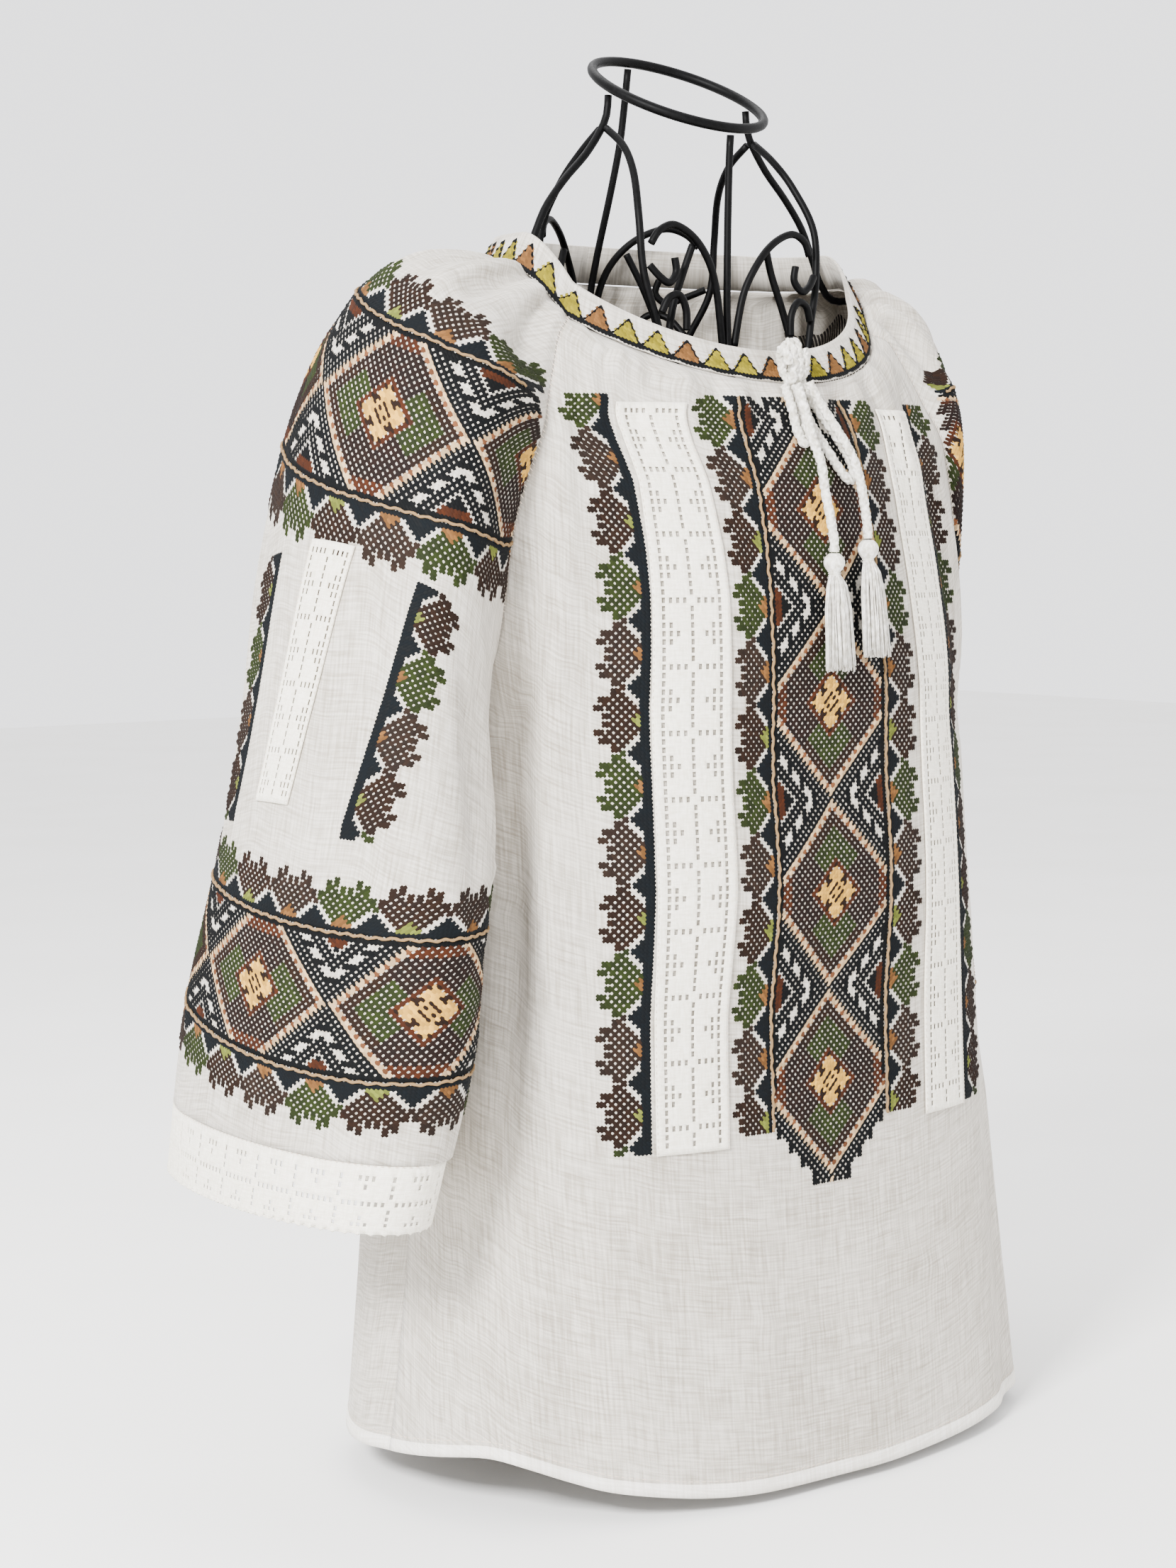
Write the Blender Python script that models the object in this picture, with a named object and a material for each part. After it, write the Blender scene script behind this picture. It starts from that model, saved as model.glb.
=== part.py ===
"""An embroidered peasant blouse on a wire dress form, in metres, with +Z up and the front facing -Y.

The blouse is cut as a front, a back, two raglan sleeves and a neck band. Every cloth piece is a wall
worked out from short tables of sections. The wearer's right side is at -X.
"""

import math

import bmesh
import bpy
import numpy as np
from mathutils import Matrix, Vector

# Cloth
CLOTH_WALL = 0.0014
BAND_WALL = 0.0024
LACE_WALL = 0.0010
SEAM_GAP = 0.0004
BAND_GAP = 0.0009
LAY_GAP = 0.0007
# Where the form's axis stands in the part's frame, and how high the hem hangs above the floor
AXIS_OUT = 0.0135
AXIS_DEEP = -0.0195
HEM_ABOVE_FLOOR = 0.006
HEM_FOLD_HEIGHT = 0.012
HEM_FOLD_EXTRA = 0.0005

# Grid sizes: rows above and below the underarm, and columns across each piece
ROWS_TO_UNDERARM = 9
ROWS_BELOW_UNDERARM = 5
SLEEVE_ROWS_BELOW = 4
FRONT_COLUMNS = 42
BACK_COLUMNS = 34
SLEEVE_COLUMNS = 26
BAND_COLUMNS = 64
UNDERARM = 6

# Sleeve sections from the neckline to the cuff, for each sleeve. Heights are above the hem.
# opening is where a section ends on its ellipse: below 0 it is a shallow arc, at 90 it is closed.
# swing is how far the section hangs to the back, slant how much its back stands higher,
# and whole how far the swing takes in the seam side too.
SLEEVE_FIELDS = (
    "seam_out", "seam_up", "opening", "half_depth", "top_out", "top_up", "swing", "slant", "whole"
)
RIGHT_SLEEVE = (
    (0.118, 0.667, -65, 0.0980, 0.130, 0.697, 0.000, 0.00, 0.0),
    (0.130, 0.657, -35, 0.0635, 0.158, 0.703, 0.000, 0.00, 0.0),
    (0.145, 0.625, 0, 0.0620, 0.190, 0.700, 0.000, 0.00, 0.0),
    (0.158, 0.594, 30, 0.0790, 0.219, 0.680, -0.002, 0.00, 0.0),
    (0.172, 0.546, 43, 0.0850, 0.247, 0.630, -0.004, 0.00, 0.0),
    (0.176, 0.480, 56, 0.0890, 0.270, 0.550, -0.007, 0.00, 0.0),
    (0.180, 0.415, 90, 0.0920, 0.284, 0.460, -0.010, 0.00, 0.0),
    (0.191, 0.375, 90, 0.1010, 0.294, 0.395, -0.011, 0.01, 0.7),
    (0.203, 0.320, 90, 0.1120, 0.304, 0.325, -0.006, 0.02, 1.0),
    (0.211, 0.250, 90, 0.1190, 0.312, 0.253, 0.003, 0.03, 1.0),
    (0.216, 0.174, 90, 0.1130, 0.315, 0.176, 0.019, 0.03, 1.0),
)
LEFT_SLEEVE = (
    (0.118, 0.667, -65, 0.0980, 0.130, 0.697, 0.000, 0.00, 0.0),
    (0.130, 0.657, -35, 0.0635, 0.154, 0.702, 0.004, 0.00, 0.0),
    (0.145, 0.625, 0, 0.0620, 0.176, 0.694, 0.010, 0.00, 0.0),
    (0.158, 0.594, 30, 0.0750, 0.191, 0.669, 0.024, 0.00, 0.0),
    (0.172, 0.546, 35, 0.0740, 0.203, 0.621, 0.045, 0.00, 0.0),
    (0.176, 0.480, 46, 0.0720, 0.217, 0.548, 0.066, 0.00, 0.0),
    (0.180, 0.415, 90, 0.0740, 0.228, 0.455, 0.078, 0.00, 0.0),
    (0.191, 0.375, 90, 0.0800, 0.242, 0.390, 0.084, 0.01, 0.7),
    (0.199, 0.325, 90, 0.0900, 0.265, 0.330, 0.090, 0.02, 1.0),
    (0.204, 0.265, 90, 0.0990, 0.282, 0.268, 0.093, 0.03, 1.0),
    (0.208, 0.205, 90, 0.1000, 0.288, 0.207, 0.095, 0.03, 1.0),
)
# How much higher the raglan seams lie at the back than at the front, by section
BACK_SEAM_RISE = (0.030, 0.028, 0.020, 0.012, 0.006, 0.0, 0.0)
# The section where a sleeve's linen ends and its cuff lace begins
CUFF_SECTION = 9.43

# Front and back by section: height and depth at the centre line, and how square the section is.
# The section numbers are the sleeves'. shift is how far the section hangs to the left.
BODY_FIELDS = (
    "front_up", "front_depth", "front_square", "back_up", "back_depth", "back_square",
    "side_out", "side_up", "shift",
)
BODY_SECTIONS = (
    (0.631, 0.098, 2.0, 0.700, 0.098, 2.0, 0.118, 0.667, 0.000),
    (0.606, 0.110, 1.8, 0.662, 0.108, 2.0, 0.130, 0.657, 0.000),
    (0.577, 0.123, 1.5, 0.616, 0.118, 2.0, 0.145, 0.625, 0.000),
    (0.546, 0.130, 1.5, 0.566, 0.125, 2.0, 0.158, 0.594, 0.000),
    (0.505, 0.134, 1.8, 0.516, 0.128, 2.1, 0.172, 0.546, 0.000),
    (0.460, 0.136, 2.2, 0.465, 0.129, 2.2, 0.176, 0.480, 0.000),
    (0.415, 0.137, 2.4, 0.415, 0.130, 2.3, 0.180, 0.415, 0.000),
    (0.330, 0.138, 2.6, 0.330, 0.132, 2.4, 0.184, 0.330, 0.001),
    (0.220, 0.137, 2.7, 0.220, 0.134, 2.4, 0.197, 0.220, 0.002),
    (0.110, 0.142, 2.6, 0.110, 0.137, 2.4, 0.208, 0.110, 0.004),
    (0.000, 0.152, 2.5, 0.000, 0.142, 2.4, 0.221, 0.000, 0.005),
)
# How far the hem stands above its lowest level, by degrees round from the front to the left
HEM_LIFTS = (
    (-180, 0.010),
    (-140, 0.013),
    (-100, 0.016),
    (-80, 0.026),
    (-62, 0.034),
    (-46, 0.016),
    (-20, 0.002),
    (0, 0.000),
    (30, 0.003),
    (60, 0.006),
    (90, 0.002),
    (130, 0.004),
    (180, 0.010),
)
HEM_LIFT_REACH = 0.40

# Gathers under the neck band: waves across each piece, their height and how far down they fade
FRONT_GATHERS = 9
BACK_GATHERS = 9
SLEEVE_GATHERS = 6
GATHER_HEIGHT = 0.0022
GATHER_FADE = 0.075
GATHER_FADE_HELD = 0.022

# The largest folds of each piece: each runs between two places, given along the cloth from the piece's
# middle line and down from the neckline. width is how wide it is, height how far it stands out or in.
FOLD_FIELDS = ("start_across", "start_down", "end_across", "end_down", "width", "height")
FOLDS = {
    "front": (
        (-0.205, 0.30, -0.216, 0.86, 0.019, 0.0045),
        (-0.176, 0.40, -0.181, 0.82, 0.014, -0.0030),
        (0.212, 0.26, 0.205, 0.84, 0.020, 0.0050),
        (0.180, 0.36, 0.178, 0.80, 0.014, -0.0032),
        (0.020, 0.46, 0.034, 0.84, 0.030, 0.0020),
        (-0.060, 0.42, -0.074, 0.84, 0.032, 0.0024),
    ),
    "back": (
        (-0.170, 0.10, -0.196, 0.86, 0.022, 0.0050),
        (-0.105, 0.16, -0.118, 0.84, 0.024, -0.0040),
        (-0.046, 0.10, -0.060, 0.88, 0.023, 0.0052),
        (0.020, 0.14, 0.026, 0.86, 0.022, -0.0038),
        (0.078, 0.10, 0.094, 0.88, 0.024, 0.0050),
        (0.148, 0.14, 0.176, 0.86, 0.022, -0.0036),
        (0.196, 0.24, 0.222, 0.86, 0.018, 0.0040),
    ),
    "right": (
        (-0.110, 0.05, -0.082, 0.40, 0.020, 0.0042),
        (-0.150, 0.10, -0.128, 0.46, 0.022, -0.0046),
        (-0.176, 0.20, -0.166, 0.62, 0.022, 0.0048),
        (0.088, 0.06, 0.076, 0.44, 0.020, 0.0044),
        (0.132, 0.10, 0.122, 0.48, 0.022, -0.0044),
        (0.176, 0.18, 0.170, 0.60, 0.022, 0.0046),
    ),
    "left": (
        (-0.094, 0.05, -0.076, 0.42, 0.020, 0.0040),
        (-0.128, 0.10, -0.112, 0.44, 0.018, -0.0026),
        (0.082, 0.06, 0.080, 0.44, 0.020, 0.0044),
        (0.122, 0.10, 0.114, 0.46, 0.018, -0.0030),
    ),
}

# How much the gathers narrow the front's layout, by height
LAYOUT_WIDTHS = ((0.20, 1.0), (0.45, 1.0), (0.52, 0.95), (0.58, 0.85), (0.63, 0.80))
LAYOUT_HALF_WIDTH = 0.150
# Lace strips down the front, by distance from the centre line and by height
FRONT_LACE_FROM = 0.081
FRONT_LACE_TO = 0.124
FRONT_LACE_TOP = 0.618
FRONT_LACE_BOTTOM = 0.199
# Lace strips down the sleeves, by distance down the top line. They drift to the back as they go down.
SLEEVE_LACE_TOP = 0.245
SLEEVE_LACE_BOTTOM = 0.390
SLEEVE_LACE_WIDTH = 0.033
SLEEVE_LACE_DRIFT = (-0.026, 0.006)
SLEEVE_LACE_DRIFT_LEFT = (0.0, 0.0)
CUFF_ROWS = 3

# Finishes: colour, roughness and metallic value
LINEN = ((0.78, 0.76, 0.71), 0.90, 0.0)
COTTON_LACE = ((0.84, 0.83, 0.80), 0.85, 0.0)
COTTON_CORD = ((0.84, 0.83, 0.80), 0.80, 0.0)
BLACK_STEEL = ((0.020, 0.020, 0.022), 0.45, 0.3)

# Neck tie. Routes are (out to the left, height, off the cloth), from the knot.
CORD_RADIUS = 0.00275
KNOT_CENTRE = (0.001, 0.6435, 0.0118)
KNOT_RADII = (0.0098, 0.0070, 0.0112)
LOOP_SHORT = (
    (-0.0062, 0.6300, 0.0040),
    (-0.0075, 0.6160, 0.0038),
    (-0.0078, 0.6050, 0.0038),
    (-0.0055, 0.5965, 0.0038),
    (-0.0020, 0.5985, 0.0038),
    (-0.0008, 0.6080, 0.0038),
    (-0.0004, 0.6180, 0.0038),
    (-0.0004, 0.6295, 0.0040),
)
LOOP_LONG = (
    (0.0085, 0.6325, 0.0040),
    (0.0130, 0.6190, 0.0038),
    (0.0200, 0.6050, 0.0038),
    (0.0270, 0.5930, 0.0038),
    (0.0305, 0.5830, 0.0038),
    (0.0270, 0.5755, 0.0038),
    (0.0200, 0.5790, 0.0038),
    (0.0135, 0.5890, 0.0038),
    (0.0085, 0.6000, 0.0038),
    (0.0060, 0.6120, 0.0038),
    (0.0055, 0.6300, 0.0040),
)
END_RIGHT = (
    (-0.0020, 0.6300, 0.0107),
    (-0.0030, 0.6150, 0.0104),
    (-0.0035, 0.5980, 0.0104),
    (-0.0020, 0.5850, 0.0095),
    (-0.0015, 0.5700, 0.0070),
    (-0.0015, 0.5550, 0.0080),
    (-0.0015, 0.5420, 0.0092),
    (-0.0015, 0.5345, 0.0086),
)
END_LEFT = (
    (0.0070, 0.6318, 0.0115),
    (0.0125, 0.6170, 0.0112),
    (0.0190, 0.6010, 0.0112),
    (0.0250, 0.5870, 0.0112),
    (0.0280, 0.5730, 0.0100),
    (0.0288, 0.5620, 0.0094),
    (0.0285, 0.5500, 0.0098),
    (0.0284, 0.5420, 0.0094),
)
TASSEL_GAP = 0.0008
TASSEL_HEAD = 0.0130
TASSEL_HEAD_RADIUS = 0.0060
TASSEL_SKIRT = 0.0520
TASSEL_SPREAD = 0.0110
TASSEL_SPREAD_DEEP = 0.0046
TASSEL_STRANDS = 14
STRAND_RADIUS = 0.0010

# Dress form
WIRE_RADIUS = 0.00225
RING_WIRE_RADIUS = 0.0030
WELD_GAP = 0.0003
RING_RADIUS = 0.0535
RING_UP = 0.806
RING_TILT = 27
BASE_RADII = (0.108, 0.076)
BASE_BAR_WIDTH = 0.012
BASE_BAR_THICK = 0.003
# The uprights: distance from the axis and height above the hem
UPRIGHT_FRONT = (
    (0.0477, 0.7775), (0.0465, 0.760), (0.0455, 0.730), (0.0450, 0.700), (0.0450, 0.670), (0.0480, 0.640),
    (0.0600, 0.610), (0.0830, 0.580), (0.1050, 0.545), (0.1180, 0.510), (0.1250, 0.470), (0.1260, 0.430),
    (0.1210, 0.380), (0.1080, 0.320), (0.0980, 0.260), (0.0920, 0.180), (0.0820, 0.100), (0.0765, 0.040),
    (0.0760, -0.0025),
)
UPRIGHT_BACK = (
    (0.0477, 0.8265), (0.0520, 0.800), (0.0565, 0.779), (0.0660, 0.750), (0.0780, 0.717), (0.0860, 0.690),
    (0.0920, 0.660), (0.0990, 0.620), (0.1060, 0.570), (0.1120, 0.500), (0.1130, 0.430), (0.1050, 0.360),
    (0.0980, 0.300), (0.0920, 0.200), (0.0820, 0.100), (0.0765, 0.040), (0.0760, -0.0025),
)
UPRIGHT_SIDE_TOP = (
    (0.0535, 0.8008), (0.0560, 0.786), (0.0690, 0.767), (0.0860, 0.750), (0.1000, 0.733), (0.1085, 0.716),
    (0.1160, 0.700), (0.1280, 0.6900),
)
UPRIGHT_SIDE_LOW = (
    (0.2050, 0.590), (0.1900, 0.545), (0.1740, 0.500), (0.1640, 0.455), (0.1600, 0.410), (0.1550, 0.350),
    (0.1500, 0.280), (0.1350, 0.200), (0.1180, 0.100), (0.1090, 0.040), (0.1080, -0.0025),
)
# Sections of the sleeve that a side upright follows under its top line
SHOULDER_SECTIONS = (1.0, 1.5, 2.0, 2.5, 2.9, 3.2)
SHOULDER_CLEAR = 0.0048
# Scrolls in a quarter of the yoke: out to the side, forward of the axis, and height above the hem.
# A route's first point stands a weld gap off the wire it springs from.
SCROLL_FIELDS = ("out", "deep", "up")
SCROLLS = {
    "sweep": (
        (0.0560, 0.0090, 0.780), (0.0580, 0.0200, 0.769), (0.0620, 0.0340, 0.752), (0.0680, 0.0460, 0.726),
        (0.0670, 0.0490, 0.695), (0.0600, 0.0520, 0.668), (0.0540, 0.0560, 0.640), (0.0530, 0.0660, 0.615),
        (0.0560, 0.0780, 0.592),
    ),
    "arch": (
        (0.0060, 0.0460, 0.655), (0.0100, 0.0475, 0.684), (0.0180, 0.0500, 0.702), (0.0300, 0.0510, 0.7155),
        (0.0450, 0.0510, 0.7225), (0.0560, 0.0505, 0.719), (0.0615, 0.0490, 0.711),
    ),
    "hook_high": (
        (0.0610, 0.0520, 0.699), (0.0580, 0.0530, 0.692), (0.0515, 0.0535, 0.689), (0.0460, 0.0530, 0.695),
        (0.0470, 0.0530, 0.7035),
    ),
    "hook_low": (
        (0.0565, 0.0550, 0.672), (0.0535, 0.0555, 0.680), (0.0460, 0.0560, 0.682), (0.0410, 0.0560, 0.674),
        (0.0405, 0.0560, 0.662),
    ),
    "brace": (
        (0.0290, 0.0465, 0.712), (0.0340, 0.0460, 0.698), (0.0430, 0.0465, 0.676), (0.0480, 0.0490, 0.656),
        (0.0485, 0.0530, 0.640),
    ),
}
SCROLL_HOSTS = {"hook_high": "sweep", "hook_low": "sweep", "brace": "arch"}
SCROLL_POINTS = {"sweep": 15, "arch": 13, "hook_high": 8, "hook_low": 8, "brace": 6}
# How far a scroll's first point stands from the middle of the wire it springs from
SCROLL_REACH = {
    "front": {"sweep": 0.0034, "arch": 0.0046, "hook_high": 0.0040, "hook_low": 0.0040, "brace": 0.0040},
    "back": {"sweep": 0.0034, "arch": 0.0046, "hook_high": 0.0036, "hook_low": 0.0032, "brace": 0.0032},
}
# The back arches stand higher, and the back scrolls reach out to the back upright
BACK_ARCH_RISE = 0.012
SCROLL_SPAN = 0.066
# Hoops inside the uprights
HOOPS = {"hoop_bust": 0.445, "hoop_waist": 0.270}
HOOP_POINTS = 28

# Neck band
BAND_HEIGHT = 0.022
BAND_LEAN_FRONT = 35
BAND_LEAN_SIDE = 30
BAND_LEAN_BACK = 15


def read_table(rows, fields, at):
    """Every field at the section numbers in at, on smooth curves through the table's rows."""
    table = np.array(rows, float)
    last = len(table) - 1
    at = np.clip(np.asarray(at, float), 0, last)
    low = np.minimum(at.astype(int), last - 1)
    part = (at - low)[:, None]
    before = table[np.maximum(low - 1, 0)]
    start = table[low]
    end = table[low + 1]
    after = table[np.minimum(low + 2, last)]
    slope_start = (end - before) / 2
    slope_end = (after - start) / 2
    square = part * part
    cube = square * part
    values = (2 * cube - 3 * square + 1) * start
    values += (cube - 2 * square + part) * slope_start
    values += (3 * square - 2 * cube) * end
    values += (cube - square) * slope_end
    return {name: values[:, i] for i, name in enumerate(fields)}


def spread(points, count):
    """The points of a row set out again at even distances along it."""
    steps = np.linalg.norm(np.diff(points, axis=0), axis=1)
    along = np.concatenate([[0.0], np.cumsum(steps)])
    places = np.linspace(0, along[-1], count)
    return np.stack([np.interp(places, along, points[:, i]) for i in range(3)], axis=1)


def section_numbers(below, last):
    """Section numbers of a piece's rows. Those to the underarm are the same on every piece."""
    above = np.linspace(0, UNDERARM, ROWS_TO_UNDERARM + 1)
    return np.concatenate([above, np.linspace(UNDERARM, last, below + 1)[1:]])


def seam_deep(section):
    """How far the raglan seams lie in front of and behind the sides, at a section."""
    row = read_table(RIGHT_SLEEVE, SLEEVE_FIELDS, [min(section, UNDERARM)])
    return row["half_depth"][0] * math.cos(math.radians(min(row["opening"][0], 90.0)))


def back_seam_rise(section):
    """How much higher a raglan seam lies at the back than at the front, at a section."""
    return float(np.interp(section, range(len(BACK_SEAM_RISE)), BACK_SEAM_RISE))


def sleeve_grid(side, columns, at):
    """Rows of a sleeve from the neckline down, each from the front seam over the top to the back seam."""
    rows = read_table(RIGHT_SLEEVE if side < 0 else LEFT_SLEEVE, SLEEVE_FIELDS, at)
    grid = []
    for i in range(len(at)):
        opening = math.radians(min(rows["opening"][i], 90.0))
        inner = np.array([rows["seam_out"][i], rows["seam_up"][i]])
        outer = np.array([rows["top_out"][i], rows["top_up"][i]])
        reach = np.linalg.norm(outer - inner)
        way = (outer - inner) / reach
        half = reach / (1 + math.sin(opening))
        centre = inner + way * half * math.sin(opening)
        turn = np.linspace(-opening, math.pi + opening, 241)
        lift = (np.sin(turn) + math.sin(opening)) / (1 + math.sin(opening))
        weight = lift + (1 - lift) * rows["whole"][i]
        across = -rows["half_depth"][i] * np.cos(turn)
        if at[i] < UNDERARM:
            own = rows["half_depth"][i] * math.cos(opening)
            across *= 1 + (seam_deep(at[i]) / own - 1) * (1 - lift)
        out = centre[0] + way[0] * half * np.sin(turn)
        up = centre[1] + way[1] * half * np.sin(turn) + rows["slant"][i] * across * weight
        up += back_seam_rise(at[i]) * (1 - lift) * (across > 0)
        row = np.stack([side * out, across + rows["swing"][i] * weight, up], axis=1)
        grid.append(spread(row, columns + 1))
    return np.array(grid)


def hem_lift(degrees):
    """How far the hem is lifted at an angle round from the front, on a smooth curve."""
    angles = np.array([row[0] for row in HEM_LIFTS], float)
    lifts = np.array([row[1] for row in HEM_LIFTS], float)
    fine = np.arange(-180, 181, 2.0)
    rough = np.interp(fine, angles, lifts)
    kernel = np.hanning(15)
    kernel /= kernel.sum()
    smooth = np.convolve(np.concatenate([rough[-8:-1], rough, rough[1:8]]), kernel, "same")[7:-7]
    return np.interp(degrees, fine, smooth)


def body_grid(face, columns, at):
    """Rows of the front (face -1) or the back (face 1), each from the right seam to the left seam."""
    rows = read_table(BODY_SECTIONS, BODY_FIELDS, at)
    sleeve = read_table(RIGHT_SLEEVE, SLEEVE_FIELDS, np.minimum(at, UNDERARM))
    name = "front" if face < 0 else "back"
    grid = []
    for i in range(len(at)):
        depth = rows[name + "_depth"][i]
        centre_up = rows[name + "_up"][i]
        if at[i] <= UNDERARM:
            end_out = sleeve["seam_out"][i]
            end_up = sleeve["seam_up"][i] + (back_seam_rise(at[i]) if face > 0 else 0.0)
            end_y = seam_deep(at[i])
        else:
            end_out = rows["side_out"][i]
            end_up = rows["side_up"][i]
            end_y = 0.0
        square = rows[name + "_square"][i]
        turn_end = math.acos((end_y / depth) ** (square / 2))
        half = end_out / math.sin(turn_end) ** (2 / square)
        turn = np.linspace(-turn_end, turn_end, 481)
        sine = np.sin(turn)
        cosine = np.maximum(np.cos(turn), 0)
        out = half * np.sign(sine) * np.abs(sine) ** (2 / square)
        deep = face * depth * cosine ** (2 / square)
        rise = (1 - np.cos(turn)) / (1 - math.cos(turn_end))
        back_middle = np.where(sine < 0, -math.pi, math.pi)
        round_from_front = np.degrees(turn) if face < 0 else np.degrees(back_middle - turn)
        hang = max(0.0, 1 - centre_up / HEM_LIFT_REACH) ** 2
        up = centre_up + (end_up - centre_up) * rise + hem_lift(round_from_front) * hang
        row = np.stack([out + rows["shift"][i], deep, up], axis=1)
        grid.append(spread(row, columns + 1))
    return np.array(grid)


def normals_of(grid, outward):
    """Unit normals of a grid's points, turned to the side that outward tells."""
    down = np.gradient(grid, axis=0)
    across = np.gradient(grid, axis=1)
    normal = np.cross(across, down)
    length = np.linalg.norm(normal, axis=2, keepdims=True)
    normal = normal / np.maximum(length, 1e-12)
    return normal * outward


def distance_down(grid):
    """How far each point of a grid is from its first row, along its column."""
    steps = np.linalg.norm(np.diff(grid, axis=0), axis=2)
    start = np.zeros((1, grid.shape[1]))
    return np.concatenate([start, np.cumsum(steps, axis=0)])


def distance_across(grid):
    """How far each point of a grid is from its middle column, along its row."""
    steps = np.linalg.norm(np.diff(grid, axis=1), axis=2)
    along = np.concatenate([np.zeros((len(grid), 1)), np.cumsum(steps, axis=1)], axis=1)
    middle = grid.shape[1] // 2
    return along - along[:, middle : middle + 1]


def held_at_seams(columns):
    """1 over a piece and 0 at the seams at its two ends."""
    share = np.linspace(0, 1, columns)
    return np.clip(np.minimum(share, 1 - share) * columns / 3.5, 0, 1)


def folded(grid, normal, folds):
    """The grid with its largest folds pressed out or in along their lines."""
    down = distance_down(grid)
    across = distance_across(grid)
    height = np.zeros(down.shape)
    for fold in folds:
        row = dict(zip(FOLD_FIELDS, fold))
        part = np.clip((down - row["start_down"]) / (row["end_down"] - row["start_down"]), 0, 1)
        line = row["start_across"] + (row["end_across"] - row["start_across"]) * part
        height += row["height"] * np.sin(math.pi * part) * np.exp(-(((across - line) / row["width"]) ** 2))
    return grid + normal * (height * held_at_seams(grid.shape[1]))[:, :, None]


def gathered(grid, normal, waves, phase, flat_half):
    """The grid with the gathers under the band pressed into it.

    They fade out at the seams, and sooner within flat_half of the middle, where stitching holds the cloth.
    """
    columns = grid.shape[1]
    share = np.linspace(0, 1, columns)
    wobble = share + 0.012 * np.sin(2 * math.pi * 2.3 * share + phase)
    wave = np.sin(2 * math.pi * waves * wobble)
    reach = np.where(np.abs(distance_across(grid)) < flat_half, GATHER_FADE_HELD, GATHER_FADE)
    fade = np.exp(-((distance_down(grid) / reach) ** 2))
    height = GATHER_HEIGHT * wave * held_at_seams(columns) * fade
    moved = grid + normal * height[:, :, None]
    moved[0] = grid[0]
    moved[0, :, :2] += normal[0, :, :2] * height[0, :, None] * 0.15
    return moved


def unit(vectors):
    """Vectors at length 1."""
    return vectors / np.maximum(np.linalg.norm(vectors, axis=-1, keepdims=True), 1e-12)


def into_piece(line, neighbour):
    """Unit ways from a seam's points into a piece, square to the seam."""
    along = unit(np.gradient(line, axis=0))
    way = neighbour - line
    return unit(way - along * np.sum(way * along, axis=1, keepdims=True))


def join_seam(first, second, first_normal, second_normal, first_beside, second_beside):
    """Normals that two pieces share along a seam, and the way each draws back from it."""
    alike = np.clip(np.sum(first_normal * second_normal, axis=1, keepdims=True), 0, 1)
    shared = (unit(first_normal + second_normal * alike), unit(second_normal + first_normal * alike))
    apart = into_piece(first, first_beside) - into_piece(second, second_beside)
    weak = np.linalg.norm(apart, axis=1, keepdims=True) < 0.15
    away = np.where(weak, -first_normal, unit(apart))
    return shared, away * SEAM_GAP / 2


def sheet_faces(rows, columns, closed_from):
    """Corner numbers of a sheet's squares. From row closed_from on, the last column is the first."""
    number = np.arange(rows * (columns + 1)).reshape(rows, columns + 1)
    if closed_from is not None:
        number[closed_from:, columns] = number[closed_from:, 0]
    faces = []
    for r in range(rows - 1):
        for c in range(columns):
            square = [number[r, c], number[r + 1, c], number[r + 1, c + 1], number[r, c + 1]]
            unique = list(dict.fromkeys(int(v) for v in square))
            faces.append(unique)
    return faces


def wall_mesh(name, outer, inner, faces, outward):
    """A closed wall between outer and inner points that share one sheet's faces."""
    if outward > 0:
        faces = [face[::-1] for face in faces]
    used = sorted({v for face in faces for v in face})
    place = {v: i for i, v in enumerate(used)}
    count = len(used)
    points = [tuple(outer[v]) for v in used] + [tuple(inner[v]) for v in used]
    solid = [[place[v] for v in face] for face in faces]
    solid += [[place[v] + count for v in reversed(face)] for face in faces]
    edges = {}
    for face in faces:
        for i, start in enumerate(face):
            end = face[(i + 1) % len(face)]
            edges[(start, end)] = True
    for start, end in edges:
        if (end, start) not in edges:
            a = place[start]
            b = place[end]
            solid.append([b, a, a + count, b + count])
    mesh = bpy.data.meshes.new(name)
    mesh.from_pydata(points, [], solid)
    mesh.update()
    return mesh


def material_of(name, finish):
    """A plain material for one sub-part."""
    colour, roughness, metallic = finish
    material = bpy.data.materials.new(name)
    material.use_nodes = True
    shader = material.node_tree.nodes["Principled BSDF"]
    shader.inputs["Base Color"].default_value = (*colour, 1.0)
    shader.inputs["Roughness"].default_value = roughness
    shader.inputs["Metallic"].default_value = metallic
    return material


def add_object(name, data, finish, smooth=True):
    """Puts a mesh or curve in the scene under a node name, with its own material."""
    thing = bpy.data.objects.new(name, data)
    bpy.context.scene.collection.objects.link(thing)
    data.materials.append(material_of(name, finish))
    if smooth and thing.type == "MESH":
        for face in data.polygons:
            face.use_smooth = True
    return thing


def placed(points):
    """Points measured from the form's axis and the hem, set in the part's frame."""
    return np.array(points, float) + np.array([AXIS_OUT, AXIS_DEEP, HEM_ABOVE_FLOOR])


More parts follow.
